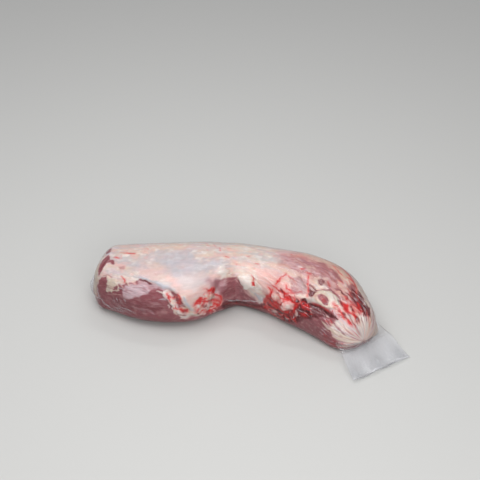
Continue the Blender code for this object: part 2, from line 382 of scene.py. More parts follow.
class Photo:
    """Finds places on the meat by where they are in the photograph."""

    def __init__(self):
        self.grid = meat_grid(PHOTO_SPACING)
        points = self.grid.raised(0)
        away = np.array([0, math.cos(EYE_PITCH), -math.sin(EYE_PITCH)])
        above = np.array([0, math.sin(EYE_PITCH), math.cos(EYE_PITCH)])
        line = points - np.array(EYE)
        depth = line @ away
        centre = PHOTO_SIDE / 2
        self.x = centre + PHOTO_FOCAL * line[..., 0] / depth
        self.y = centre - PHOTO_FOCAL * (line @ above) / depth
        # A place that faces away counts as further off than any pixel.
        self.hidden = np.where((line * self.grid.normal).sum(-1) < 0, 0, PHOTO_SIDE)

    def at(self, x, y):
        """(u, v) of the visible place at a pixel."""
        gap = np.hypot(self.x - x, self.y - y) + self.hidden
        place = np.unravel_index(np.argmin(gap), gap.shape)
        return float(self.grid.u[place]), float(self.grid.v[place])

    def path(self, points):
        """(u, v) of pixels. A Skin is a place that the photograph doesn't show."""
        places = []
        for point in points:
            if isinstance(point, Skin):
                places.append((point.s, -turn_between(point.angle, 90) * MM_PER_DEGREE))
            else:
                places.append(self.at(*point))
        places = np.array(places)
        turns = wrap(np.diff(places[:, 1]))
        places[1:, 1] = places[0, 1] + np.cumsum(turns)
        return places


# What the photograph shows on the meat, laid on in this order. Points are its pixels, or a Skin
# where a shape runs on out of sight. Widths, softness, raggedness and rise are in mm.
Patch = namedtuple("Patch", "tissue strength soft ragged rise points")
Stroke = namedtuple("Stroke", "tissue strength width ragged rise points")

HEAD_FAT = (
    Patch("veil", 0.26, 7, 3, 0, (
        (128, 266), (140, 259), (164, 258), (172, 270), (160, 281), (136, 280),
    )),
    Patch("blush", 0.36, 6, 3, 0, (
        (133, 268), (140, 262), (160, 261), (168, 270), (160, 280), (141, 277),
    )),
    Patch("veil", 0.65, 6, 4, 0.1, ((150, 250), (190, 249), (200, 262), (160, 265))),
    Patch("veil", 0.65, 6, 4, 0.1, ((165, 262), (222, 259), (222, 270), (170, 276))),
    Patch("silver", 0.25, 4, 3, 0, ((178, 262), (196, 262), (194, 273), (182, 274))),
    Patch("muscle", 0.95, 0.9, 1.2, -0.4, ((104, 253), (107, 249), (111.5, 248), (111, 251), (107, 254))),
    Patch("muscle", 1, 0.9, 1, -0.5, (
        (108, 254.5), (110, 256), (109.5, 259), (114.5, 260.5), (114, 264), (112.5, 264), (110.5, 261.5),
        (107, 263), (104, 266.5), (100, 272), (98.5, 276), (97.8, 270), (99, 265), (103, 259),
    )),
    Stroke("deep", 0.55, 3, 1.2, -0.2, ((100, 269), (104, 262), (109, 257))),
    Stroke("veil", 0.85, 2.6, 0.8, 0.4, ((100, 260), (104, 256), (109, 253.5))),
    Stroke("blood", 0.6, 1.8, 0.5, 0, ((124, 252.8), (129, 253), (135, 253.2))),
    Stroke("blood", 0.35, 1.5, 0.5, 0, ((113, 257), (118, 257))),
    Patch("muscle", 0.4, 1.6, 1.4, -0.2, ((119, 266), (124, 265.5), (125, 269), (120, 269))),
    Stroke("blood", 0.5, 1.8, 1, 0, ((121, 276), (124, 279), (124, 282))),
    Stroke("blood", 0.45, 1.8, 1, 0, ((125, 279), (127, 284))),
    Stroke("blood", 0.4, 1.4, 0.6, 0, ((206, 245), (210, 246))),
    Stroke("blood", 0.35, 1.4, 0.6, 0, ((199, 243), (203, 242.5), (208, 243.5))),
    Stroke("blood", 0.35, 1.4, 0.6, 0, ((213, 244), (216, 246.5))),
    Stroke("blood", 0.35, 1.4, 0.6, 0, ((219.5, 247), (220.5, 251))),
    Stroke("blood", 0.3, 1.4, 0.6, 0, ((226, 248.5), (231, 248))),
    Stroke("blood", 0.35, 1.6, 0.8, 0, ((116, 256), (120, 258.5))),
    Stroke("blood", 0.4, 1.4, 0.6, 0, ((218, 250), (222, 251))),
    Stroke("blood", 0.5, 1.6, 0.8, 0, ((225, 256), (229, 257))),
    Stroke("blood", 0.5, 1.6, 0.8, 0, ((255, 263), (259, 264))),
)
HEAD_MUSCLE = (
    Patch("muscle", 1, 1.1, 1.6, 0, (
        (99, 280), (101, 277), (106, 277), (106.5, 282), (105.5, 288), (107, 290.5), (112, 291),
        (114, 287), (118, 285.5), (122, 284.5), (128, 283), (134, 282.5), (140, 279), (150, 282),
        (158, 286), (168, 290), (164, 296), (168, 302), (172, 308), (176, 315), Skin(142, -34),
        Skin(60, -34), Skin(4, -20),
    )),
    Patch("silver", 0.7, 2.4, 1.5, 0, (
        (137, 280), (150, 281), (158, 286), (157, 289), (150, 290), (140, 286),
    )),
    Patch("silver", 0.95, 1.6, 1.6, 0.15, (
        (125, 285), (132, 284), (140, 284.5), (146, 286), (151, 290), (149, 294), (142, 296), (134, 298),
        (128, 299.5), (123.5, 297), (122.5, 292), (124, 288),
    )),
    Patch("deep", 0.2, 3, 2, 0, (
        (112, 296), (124, 302), (140, 304), (160, 303), (166, 310), (140, 314), (118, 309),
    )),
    Stroke("blush", 0.75, 1.8, 0.6, 0.2, ((106, 294.5), (113, 294), (119, 294.6), (125, 294.8))),
    Stroke("veil", 0.8, 2.2, 1.2, 0.4, ((117, 289), (121, 288.5), (124, 290))),
    Stroke("fat", 0.9, 2.4, 1.4, 0.4, ((106, 290), (112, 291), (119, 290.5))),
    Stroke("silver", 0.55, 3, 1, 0.1, ((136, 309), (146, 311), (155, 314))),
    Patch("fat", 0.95, 1.2, 2.2, 0.7, (
        (106.5, 277), (116, 278), (117, 284), (113, 287), (113.5, 289), (111, 290.5), (108, 289),
        (106, 285),
    )),
    Stroke("fat", 0.95, 2.6, 1.6, 0.5, ((107, 285), (106.5, 289), (108, 293))),
    Stroke("fat", 0.9, 2.2, 1.6, 0.5, ((111, 287), (111.5, 293))),
    Stroke("fat", 0.9, 2.6, 1.6, 0.5, ((116, 283), (118, 287), (118, 291))),
    Stroke("blush", 0.85, 2.2, 1.6, 0.4, ((121, 283), (123, 288))),
    Stroke("fat", 0.85, 2.4, 1.6, 0.4, ((126, 281), (129, 286))),
    Stroke("blush", 0.7, 2, 1.4, 0.3, ((132, 281), (135, 285))),
    Stroke("muscle", 0.5, 1.7, 1.4, -0.2, ((102, 276), (107, 275.5), (112, 277))),
)
ROLLED_EDGE = (
    # The first stroke is painted shadow: dark muscle colour laid in the shade under the rolled fat edge.
    Stroke("deep", 0.9, 3.2, 0.5, -0.8, ((139, 279.5), (146, 281.5), (153, 285))),
    Stroke("silver", 0.8, 4, 0.5, 0.4, ((152, 284.5), (160, 288), (168, 291))),
    Stroke("veil", 0.95, 2.4, 0.5, 0.8, ((138, 276.5), (145, 278.5), (153, 281.5))),
    Stroke("veil", 0.95, 5, 0.6, 1.2, ((151, 281), (157, 283.3), (163, 286.5), (170, 288.5), (177, 292))),
)
LOBE = (
    Patch("blush", 0.75, 6, 3, 0, (
        (165, 278), (180, 274), (205, 273), (222, 276), (218, 285), (205, 292), (196, 300), (192, 311),
        (184, 300), (178, 292), (172, 289),
    )),
    # White fat here is partly painted highlight, brighter where the lobe faces the light.
    Patch("white", 0.6, 6, 3, 0.1, ((176, 275), (205, 274), (208, 283), (196, 291), (182, 289))),
    Patch("veil", 0.36, 6, 3, 0, ((174, 272), (206, 271), (210, 282), (196, 289), (180, 287))),
)
TATTERS = (
    Patch("muscle", 0.95, 0.9, 1.2, -0.6, ((171, 291), (178, 294), (177, 299), (172, 298))),
    Patch("muscle", 0.95, 0.9, 1.2, -0.6, ((175, 298), (182, 300), (185, 308), (179, 308))),
    Patch("deep", 0.8, 0.9, 1.2, -0.5, ((176, 310), (187, 311.5), (186, 316), (177, 316))),
    Patch("white", 0.95, 1, 1.4, 1.1, ((162, 290), (168, 290), (170.5, 294), (168, 298), (163, 296))),
    Stroke("white", 0.9, 2.4, 1, 0.7, ((156, 291), (161, 292.5), (166, 296))),
    Stroke("veil", 0.9, 2.2, 0.8, 0.6, ((158, 300), (163, 298.5), (169, 300.5))),
    Stroke("blood", 0.9, 2.4, 1.4, -0.2, ((168, 294), (170, 299), (173, 305), (178, 310), (186, 313))),
    Stroke("deep", 0.7, 2, 1.2, -0.4, ((166, 299), (169, 304), (172, 309))),
    Patch("fat", 0.95, 0.8, 1, 0.8, ((170, 298), (173, 299), (175, 304), (172, 305))),
    Stroke("white", 0.95, 2.8, 1.2, 0.8, ((172, 304), (176, 310), (182, 314), (190, 314.5), (197, 312))),
    Stroke("white", 0.85, 1.8, 0.8, 0.6, ((171, 289), (176, 292), (181, 297), (183, 303))),
    Stroke("veil", 0.95, 3, 0.7, 0.7, ((183, 297), (187, 304), (191, 310), (198, 312))),
    Stroke("blood", 0.75, 1.8, 1.2, 0, ((177, 294), (180, 299), (180, 304))),
)
BLOODY_END = (
    Patch("blood", 0.3, 2.5, 2.4, -0.2, (
        (193, 312), (196, 302), (203, 295), (209, 289), (215, 288), (219, 293), (222, 300), (223, 307),
        (216, 313), (204, 315),
    )),
    Patch("blush", 0.95, 1, 1.8, 0.8, ((205, 293), (211, 293), (217, 296), (214, 300), (207, 300))),
    Patch("blush", 0.95, 1, 1.6, 0.7, ((206, 302), (212, 302), (213, 306), (207, 307))),
    Patch("white", 0.9, 1, 1.4, 0.7, ((196, 304), (201, 303), (201, 308), (197, 308))),
)
WAIST = (
    Patch("muscle", 1, 2.8, 1.6, 0, (
        (214, 281), (222, 279.5), (230, 278), (236, 276.5), (240, 282), (243, 287), (249, 294),
        (254, 299), (262, 306), (268, 311), (277, 318), Skin(300, -34), Skin(178, -34), (224, 312),
        (223, 299), (220, 293),
    )),
    Patch("silver", 0.55, 5, 2, 0, ((203, 279), (220, 278), (226, 286), (220, 297), (209, 289))),
    Patch("muscle", 0.4, 4, 2, 0, ((207, 280), (222, 280), (224, 292), (214, 290))),
    Patch("deep", 0.22, 2.5, 1.5, 0, ((220, 287), (228, 287), (229, 296), (221, 296))),
    Patch("deep", 0.95, 1.6, 1.5, 0, (
        (222, 303), (245, 303), (262, 305), (268, 311), (250, 315), (224, 313),
    )),
    Patch("blood", 0.35, 2.5, 1.5, 0, ((223, 304), (240, 304), (262, 307), (266, 311), (240, 309))),
    Stroke("blush", 0.6, 2.6, 0.8, 0.2, ((235, 279), (239, 284), (244, 290), (250, 297))),
)
FAT_CURLS = (
    Patch("white", 0.85, 2.2, 2.4, 0.5, ((218, 269), (223, 266), (228, 270), (227, 277), (221, 279))),
    Patch("white", 1, 1.2, 1.4, 0.9, (
        (237.5, 276.5), (243, 275), (250, 276.5), (251.5, 287), (245, 290), (240.5, 283.5),
    )),
    Stroke("muscle", 0.45, 2, 0.6, -0.4, ((229, 273), (233, 275), (238, 275.5))),
    Stroke("white", 0.85, 2.2, 1.2, 0.7, ((249, 277), (254, 275), (257, 279), (255, 286), (250, 288))),
    Stroke("white", 0.75, 2, 1.2, 0.6, ((252, 279), (258, 284), (262, 291))),
    Patch("blood", 0.85, 0.9, 1.2, -0.3, ((251, 282), (254.5, 282), (255, 286), (252, 286))),
    Stroke("blood", 0.55, 1.6, 1, 0, ((251, 275), (254, 278), (253, 282))),
)
FAN = (
    Patch("blush", 0.85, 3, 2, 0, (
        (255, 268), (276, 269), (290, 286), (300, 298), (280, 300), (263, 296),
    )),
    Patch("blood", 0.09, 5, 2, 0, ((262, 272), (284, 274), (300, 292), (290, 300), (268, 290))),
    Stroke("silver", 0.5, 3, 1.6, 0.3, ((250, 275), (266, 283), (283, 292), (300, 300))),
    Stroke("white", 0.45, 3, 1.6, 0.3, ((259, 273), (268, 280), (276, 289))),
    Stroke("amber", 0.6, 1.8, 0.8, -0.3, ((262, 272), (272, 279), (282, 288))),
    Stroke("white", 0.45, 2.8, 1.6, 0.3, ((267, 271), (276, 278), (285, 286))),
    Stroke("blush", 0.7, 1.8, 0.8, 0.3, ((256, 279), (264, 287), (271, 296))),
    Stroke("veil", 0.85, 3, 0.8, 0.5, ((254, 293), (258, 298), (263, 301))),
    Stroke("blood", 0.9, 2.8, 1.8, -0.3, ((286, 273), (281, 278), (276, 284))),
    Stroke("blood", 0.4, 2.6, 1.8, -0.1, ((286, 274), (291, 278), (297, 283))),
    Stroke("blood", 0.7, 2.2, 2, -0.2, ((285, 284), (286, 289), (292, 292))),
    Stroke("blood", 0.45, 2.4, 2, 0, ((290, 293), (296, 291.5), (302, 293))),
    Stroke("blood", 0.8, 2, 1.2, -0.2, ((271, 285), (277, 289), (283, 296), (284, 300))),
    Stroke("blood", 0.8, 2.2, 1.2, -0.2, ((268, 287), (271, 292), (271, 299))),
)
TORN_END = (
    Patch("muscle", 0.95, 2.4, 3, 0, (
        (264, 309), (290, 314), (312, 314), (338, 320), Skin(404, 22), Skin(414, 4), Skin(422, -12),
        Skin(424, -60), Skin(290, -50),
    )),
    Patch("blood", 0.7, 2.4, 2.4, -0.3, (
        (262, 304), (270, 293), (280, 290), (292, 296), (302, 299), (310, 306), (312, 317), (290, 321),
        (274, 319),
    )),
    Patch("deep", 0.8, 2, 2.2, -0.5, (
        (268, 309), (285, 313), (300, 310), (312, 313), (312, 320), (280, 321),
    )),
    Patch("deep", 0.75, 1.6, 1.8, -0.4, ((296, 306), (310, 303), (320, 311), (330, 318), (306, 320))),
    Patch("blush", 0.95, 1.2, 1.8, 1.2, (
        (272, 293), (277, 291), (282, 296), (282, 302), (275, 304), (271, 299),
    )),
    Patch("blush", 0.95, 1.2, 1.8, 1.2, (
        (280, 303), (286, 300), (293, 304), (292, 310), (284, 311), (279, 307),
    )),
    Patch("fat", 0.8, 1.2, 1.8, 0.8, ((290, 295), (298, 294), (306, 298), (300, 303), (293, 301))),
    Patch("white", 0.85, 0.9, 1.2, 0.6, ((294, 311), (297, 310), (298, 316), (294, 317))),
    Patch("white", 0.8, 0.9, 1.2, 0.6, ((272, 310), (276, 309.5), (277, 313), (273, 313))),
)
UPPER_TAIL = (
    Patch("blood", 0.18, 14, 4, 0, (
        (280, 252), (314, 254), (344, 268), (356, 290), (340, 300), (306, 280), (284, 268),
    )),
    Patch("muscle", 0.42, 12, 4, 0, (
        (280, 254), (312, 258), (338, 268), (350, 284), (330, 284), (306, 274), (284, 268),
    )),
    Patch("amber", 0.7, 5, 4, 0, (
        (300, 252), (322, 256), (340, 266), (356, 286), (348, 290), (330, 268), (310, 260),
    )),
    Patch("amber", 0.6, 2.5, 2, 0.2, ((336, 267), (346, 271), (356, 286), (350, 286), (340, 276))),
    Stroke("silver", 0.45, 6, 2, 0.2, ((286, 262), (304, 268), (322, 277), (338, 290))),
    Stroke("muscle", 0.45, 5, 2, 0, ((290, 268), (304, 272), (318, 278), (330, 288))),
    Stroke("silver", 0.5, 4, 2, 0.2, ((296, 258), (314, 264), (330, 273), (345, 287))),
    Stroke("muscle", 0.5, 4, 2, 0, ((306, 262), (322, 270), (336, 282), (346, 294))),
    Stroke("muscle", 0.4, 3.4, 2, 0, ((326, 286), (336, 294), (346, 302))),
    Patch("muscle", 0.6, 2, 1.8, 0, ((331, 272), (336, 271), (341, 278), (337, 281))),
    Stroke("blood", 0.85, 2.4, 0.6, -0.2, ((339, 263), (346, 271), (353, 280), (358, 291))),
    Stroke("deep", 0.6, 2, 0.6, -0.2, ((322, 256), (332, 259), (342, 266))),
    Patch("muscle", 0.5, 2.5, 2, 0, (
        (290, 278), (302, 277), (308, 283), (307, 294), (300, 295), (291, 292),
    )),
    Patch("veil", 0.25, 2, 2, 0.2, ((297, 280), (306, 282), (306, 293), (299, 291))),
    Stroke("blood", 0.9, 2.4, 1.8, -0.3, ((308.5, 276), (308, 283), (308.5, 290), (307.5, 297))),
    # A painted highlight: a small white glint, with real red marks beside it.
    Patch("white", 0.9, 0.9, 0.8, 0.4, ((299, 265.5), (303, 266), (304, 268.5), (300, 268))),
    Stroke("blood", 0.85, 1.8, 0.6, 0, ((301, 268.5), (304.5, 269))),
    Stroke("blood", 0.75, 1.8, 0.6, 0, ((306, 272), (309, 273), (312, 274))),
    # Painted shade in the film's dark wrinkles here, with painted highlights as the light hairlines along
    # them.
    Patch("deep", 0.85, 1.4, 1.6, -0.3, ((309, 284), (315, 286), (317, 297), (309, 297))),
    Stroke("deep", 1, 2, 0.6, -0.5, ((309, 284.5), (313, 287.5), (317, 291))),
    Stroke("deep", 1, 2, 0.6, -0.5, ((308.5, 289), (313, 292), (316.5, 292))),
    Stroke("deep", 0.95, 2.4, 0.6, -0.5, ((308.5, 293), (310.5, 297), (311, 300))),
    Stroke("veil", 0.8, 1.7, 0.5, 0.4, ((310, 287), (314, 290.2), (312, 294))),
    Stroke("silver", 0.8, 1.8, 0.5, 0.4, ((311, 283), (316, 285.5), (319, 288))),
)
EYE_OF_FAT = (
    Patch("fat", 0.45, 2.2, 1.2, 0.2, ((313, 279), (321, 275.5), (329, 279), (328, 286.5), (317, 288))),
    Patch("deep", 0.75, 1, 0.8, -0.3, (
        (318, 280), (322, 278.5), (325, 281.5), (322.5, 285.5), (318.5, 284.5),
    )),
    Stroke("blood", 0.85, 2, 0.8, 0, ((328, 281), (330, 287))),
    Stroke("muscle", 0.7, 2.2, 0.8, -0.2, ((312, 291.5), (318, 290), (330, 291))),
    Stroke("white", 0.95, 3.2, 0.8, 0.6, ((315, 288), (321, 287), (326, 287.5), (330, 290))),
    Patch("deep", 0.9, 1, 1.2, -0.4, ((300, 299), (306, 298.5), (308, 303), (303, 304))),
    Patch("white", 0.9, 1.4, 1.2, 0.5, ((308.5, 297), (314, 295.5), (319, 299), (318, 303), (311, 302))),
    Stroke("deep", 1, 9.5, 0.8, -0.2, ((309, 304.5), (319, 308), (328, 313), (337, 319))),
    Stroke("blood", 0.6, 2.2, 1, 0, ((312, 303.5), (321, 306.5), (330, 312))),
    Stroke("muscle", 0.85, 2.6, 0.8, -0.5, (
        (322, 289), (331, 290), (337.5, 295), (342, 302), (343, 308),
    )),
    Patch("fat", 1, 0.9, 0.6, 1.1, (
        (312.5, 297), (315, 293), (321, 290.5), (330, 291.5), (336, 296), (338.5, 303), (337, 308),
        (331, 308.5), (324, 307), (317, 303),
    )),
    Patch("white", 0.8, 1.4, 0.8, 0.2, (
        (325, 291.5), (333, 294), (337, 301), (335.5, 307), (330, 306), (330, 298),
    )),
    Patch("blood", 0.12, 2, 1, 0, ((313, 296), (318, 293), (320, 302), (315, 300))),
    Patch("muscle", 1, 0.9, 0.7, -0.4, (
        (317.5, 295), (321, 293.5), (324, 295), (327, 297), (329, 301), (327.5, 305.5), (323.5, 305),
        (321, 301), (318, 299),
    )),
    Patch("blood", 0.25, 1.2, 0.8, 0, ((320, 296), (325, 298), (327, 303), (323, 303))),
    Stroke("muscle", 0.35, 1.8, 0.6, -0.2, ((333, 296), (335, 301), (334, 305))),
)
TAIL_STRANDS = (
    Patch("blood", 0.28, 2.5, 2, 0, ((332, 303), (348, 299), (362, 306), (370, 318), (338, 318))),
    Stroke("blood", 0.9, 3.2, 1.2, 0, ((333, 304), (339, 309), (344, 316))),
    Stroke("white", 0.9, 3, 1, 0.5, ((337, 303), (343, 308), (347, 314))),
    Stroke("blood", 0.9, 3, 1.2, 0, ((341, 303), (350, 307), (357, 313))),
    Stroke("white", 0.75, 2.2, 0.8, 0.5, ((340, 299), (349, 304), (359, 310), (366, 317))),
    Stroke("blood", 0.85, 3, 1.2, 0, ((347, 310), (354, 315), (358, 321))),
    Stroke("blood", 0.8, 2.2, 1, 0, ((350, 304), (356, 307), (362, 312))),
    # A painted highlight: a bright glint on the wet strands.
    Patch("white", 0.7, 1.4, 1.2, 0.6, ((339, 306), (344, 306.5), (346, 311), (341, 312))),
    Patch("muscle", 0.75, 1.4, 1.4, -0.2, (
        (347, 285), (352, 283.5), (356, 286), (355, 290), (350, 289.5),
    )),
    Patch("blush", 0.8, 1.4, 1.4, 0.4, ((350, 277), (354, 279), (357, 284), (352, 282.5))),
    Patch("deep", 0.7, 1.4, 1.6, -0.3, (
        (350, 292), (357, 292), (364, 298), (363, 304), (356, 302), (352, 297),
    )),
    Patch("veil", 0.6, 1, 1, 0.4, ((353, 297), (358, 298), (361, 302), (356, 301))),
    Patch("white", 0.6, 1.4, 1.4, 0.4, ((343, 280), (348, 279), (351, 283), (347, 287), (343, 285))),
    Patch("deep", 0.85, 1.2, 1.4, -0.3, ((356, 301), (362, 303), (367, 309), (362, 310))),
    Patch("muscle", 0.8, 1.2, 1.4, -0.2, ((334, 286), (339, 287), (342, 292), (337, 291))),
    Patch("deep", 0.8, 1.2, 1.4, -0.3, ((352, 288), (356, 290), (359, 295), (354, 293))),
    Patch("white", 0.7, 1.2, 1.4, 0.4, ((345, 288), (349, 290), (351, 294), (347, 294))),
    Patch("white", 0.6, 1.2, 1.4, 0.4, ((358, 294), (362, 297), (364, 301), (360, 300))),
    Stroke("deep", 0.8, 2.8, 1.2, -0.3, ((339, 290), (345, 295), (350, 301))),
    Stroke("blood", 0.75, 2.4, 1.2, -0.2, ((344, 296), (350, 301), (355, 307))),
    Patch("deep", 0.8, 1.3, 2, -0.3, ((361, 305), (370, 308), (371, 317), (364, 315))),
    Stroke("deep", 0.6, 2.6, 1.4, -0.2, ((344, 291), (352, 298), (358, 303))),
    Stroke("white", 0.7, 1.9, 0.8, 0.4, ((352, 290), (360, 297), (366, 305))),
)
PICTURED = (
    HEAD_FAT + HEAD_MUSCLE + ROLLED_EDGE + LOBE + TATTERS + BLOODY_END + WAIST + FAT_CURLS + FAN
    + UPPER_TAIL + TORN_END + EYE_OF_FAT + TAIL_STRANDS
)

# A field of like strands. Inside the outline, each runs at about turn degrees from the piece's
# length, towards the front.
Strands = namedtuple("Strands", "tissue strength count length width turn spread rise outline")
TORN_OUTLINE = (
    (262, 304), (270, 296), (281, 291), (292, 297), (302, 300), (310, 308), (312, 317), (280, 320),
)
BLOODY_OUTLINE = ((193, 312), (198, 300), (205, 293), (213, 288), (219, 292), (223, 303), (216, 314))
STRANDED_OUTLINE = ((332, 303), (346, 299), (360, 304), (370, 318), (350, 324), (338, 316))
TAIL_FOOT = (Skin(384, 22), Skin(402, 44), Skin(424, 36), Skin(429, -20), Skin(424, -50), Skin(392, -44))
TATTERS_OUTLINE = ((157, 290), (170, 288), (180, 296), (190, 312), (172, 313), (164, 298))
TATTERS_MIDDLE = ((166, 296), (178, 298), (190, 312), (174, 312))
WAIST_OUTLINE = ((226, 282), (238, 280), (262, 306), (274, 318), (228, 312))
HEAD_LOWER = ((100, 296), (116, 298), (150, 300), (166, 298), (170, 312), (110, 306))
HEAD_BARE = ((100, 280), (116, 288), (150, 284), (166, 296), (170, 312), (110, 306))
BARREL_OUTLINE = ((262, 262), (300, 258), (346, 290), (330, 300), (290, 286))
SHOULDER_OUTLINE = ((296, 262), (322, 262), (346, 278), (352, 300), (330, 288), (308, 274))
OUTER_EDGE = ((322, 258), (342, 266), (358, 290), (366, 306), (350, 296), (340, 280))
OUTER_TIP = ((346, 290), (360, 292), (371, 308), (369, 318), (356, 304))
FIELDS = (
    Strands("deep", 0.9, 46, 9, 3.2, 2, 50, -0.4, TORN_OUTLINE),
    Strands("blush", 0.85, 20, 9, 2.8, 2, 50, 0.5, TORN_OUTLINE),
    Strands("blood", 1, 76, 8, 2.4, 2, 60, -0.2, TORN_OUTLINE),
    Strands("white", 0.8, 14, 6, 2.2, 2, 60, 0.5, TORN_OUTLINE),
    Strands("deep", 0.95, 16, 7, 2.6, 2, 60, -0.5, TORN_OUTLINE),
    Strands("blush", 0.9, 28, 7, 2.6, 60, 60, 0.4, BLOODY_OUTLINE),
    Strands("blood", 0.95, 44, 7, 1.8, 60, 70, -0.2, BLOODY_OUTLINE),
    Strands("white", 0.85, 16, 5, 2.2, 60, 60, 0.5, BLOODY_OUTLINE),
    Strands("deep", 0.6, 8, 5, 2, 60, 60, -0.2, BLOODY_OUTLINE),
    Strands("white", 0.8, 16, 6, 1.7, 70, 40, 0.6, TATTERS_OUTLINE),
    Strands("blood", 0.7, 12, 5, 1.6, 70, 40, 0, TATTERS_MIDDLE),
    Strands("blush", 0.3, 24, 26, 1.7, 4, 6, 0.1, WAIST_OUTLINE),
    Strands("deep", 0.22, 26, 24, 1.8, 4, 6, 0, WAIST_OUTLINE),
    Strands("silver", 0.22, 24, 22, 1.6, 14, 10, 0.1, HEAD_LOWER),
    Strands("deep", 0.22, 20, 20, 1.8, 14, 10, 0, HEAD_BARE),
    Strands("silver", 0.4, 40, 22, 2.6, 4, 10, 0.1, BARREL_OUTLINE),
    Strands("amber", 0.45, 36, 20, 3, 4, 12, 0.1, BARREL_OUTLINE),
    Strands("muscle", 0.4, 24, 20, 2.6, 2, 10, 0, SHOULDER_OUTLINE),
    Strands("blood", 0.55, 24, 9, 1.8, 4, 30, 0, OUTER_EDGE),
    Strands("deep", 0.65, 22, 9, 2.6, 0, 24, -0.3, OUTER_TIP),
    Strands("deep", 0.7, 9, 9, 3.4, -8, 30, -0.2, STRANDED_OUTLINE),
    Strands("fat", 0.75, 11, 9, 4, -8, 30, 0.4, STRANDED_OUTLINE),
    Strands("blood", 0.85, 13, 8, 3, -8, 30, 0, STRANDED_OUTLINE),
    Strands("white", 0.8, 9, 7, 3.4, -8, 30, 0.5, STRANDED_OUTLINE),
    Strands("muscle", 0.85, 16, 13, 4.2, 4, 20, -0.1, TAIL_FOOT),
    Strands("fat", 0.85, 18, 13, 3.4, 4, 20, 0.3, TAIL_FOOT),
    Strands("silver", 0.7, 14, 15, 3, 4, 16, 0.1, TAIL_FOOT),
    Strands("blood", 0.7, 8, 7, 2.4, 4, 30, 0, TAIL_FOOT),
)

# Lumps and streaks that lie over those fields.
LUMPS = (
    Patch("blush", 0.78, 1.4, 1.6, 1, (
        (272, 293), (277, 290.5), (283, 294), (284.5, 300), (279, 304), (273, 300),
    )),
    Patch("fat", 0.6, 1.4, 1.6, 0.3, ((275, 294), (280, 294), (281, 299), (276, 300))),
    Patch("blush", 0.78, 1.4, 1.6, 1, (
        (282, 303), (288, 301), (294, 304), (293, 310), (286, 312), (281, 308),
    )),
    Patch("white", 0.6, 1.2, 1.6, 0.3, ((286, 303), (291, 304), (290, 308), (285, 308))),
    Patch("blush", 0.55, 1.4, 1.6, 0.6, ((290, 295.5), (298, 295), (304, 298), (299, 301), (292, 300))),
    Stroke("blood", 0.95, 2.4, 1.6, -0.2, ((272, 290), (271, 296), (274, 302), (281, 305))),
    Stroke("blood", 0.8, 2, 1.6, -0.2, ((278, 295), (281, 298), (286, 300), (293, 301))),
    Stroke("blood", 0.95, 3.4, 1.6, -0.2, ((294, 300), (297, 306), (292, 313))),
    Stroke("blood", 0.95, 3, 1.6, -0.2, ((266, 296), (269, 301), (276, 306), (282, 311), (290, 314))),
    Stroke("blood", 0.8, 2.6, 1.6, -0.2, ((297, 299), (303, 302), (308, 306))),
    Stroke("deep", 0.95, 3, 1.4, -0.5, ((268, 305), (276, 310), (284, 313.5))),
    Stroke("deep", 0.95, 3, 1.4, -0.5, ((296, 308), (302, 311), (310, 313))),
    Patch("fat", 0.75, 1.2, 1.6, 0.8, ((205.5, 295), (211, 294), (215.5, 296), (214, 299), (207, 299.5))),
    Patch("blush", 0.75, 1, 1.4, 0.6, ((203, 290), (208, 289.5), (209, 292), (204, 293))),
    Stroke("blood", 0.5, 1.8, 1.4, -0.2, ((205, 288.5), (211, 291), (217, 293.5), (221, 299))),
    Patch("blush", 0.75, 1, 1.4, 0.5, ((216, 296.5), (220, 298.5), (219.5, 303), (215.5, 303))),
    Stroke("white", 0.8, 1.9, 1.2, 0.5, ((200, 311), (206, 308), (212, 309), (217, 306))),
    Stroke("blood", 0.85, 2, 1.4, -0.2, ((194, 306), (199, 301.5), (206, 301), (214, 301), (221, 301))),
    Patch("white", 0.7, 1, 1.4, 0.4, ((208, 302.5), (212, 302), (213, 306), (208, 307))),
    Patch("white", 0.75, 1, 1.4, 0.5, ((196, 304.5), (200.5, 303.5), (201, 307.5), (197, 308))),
)

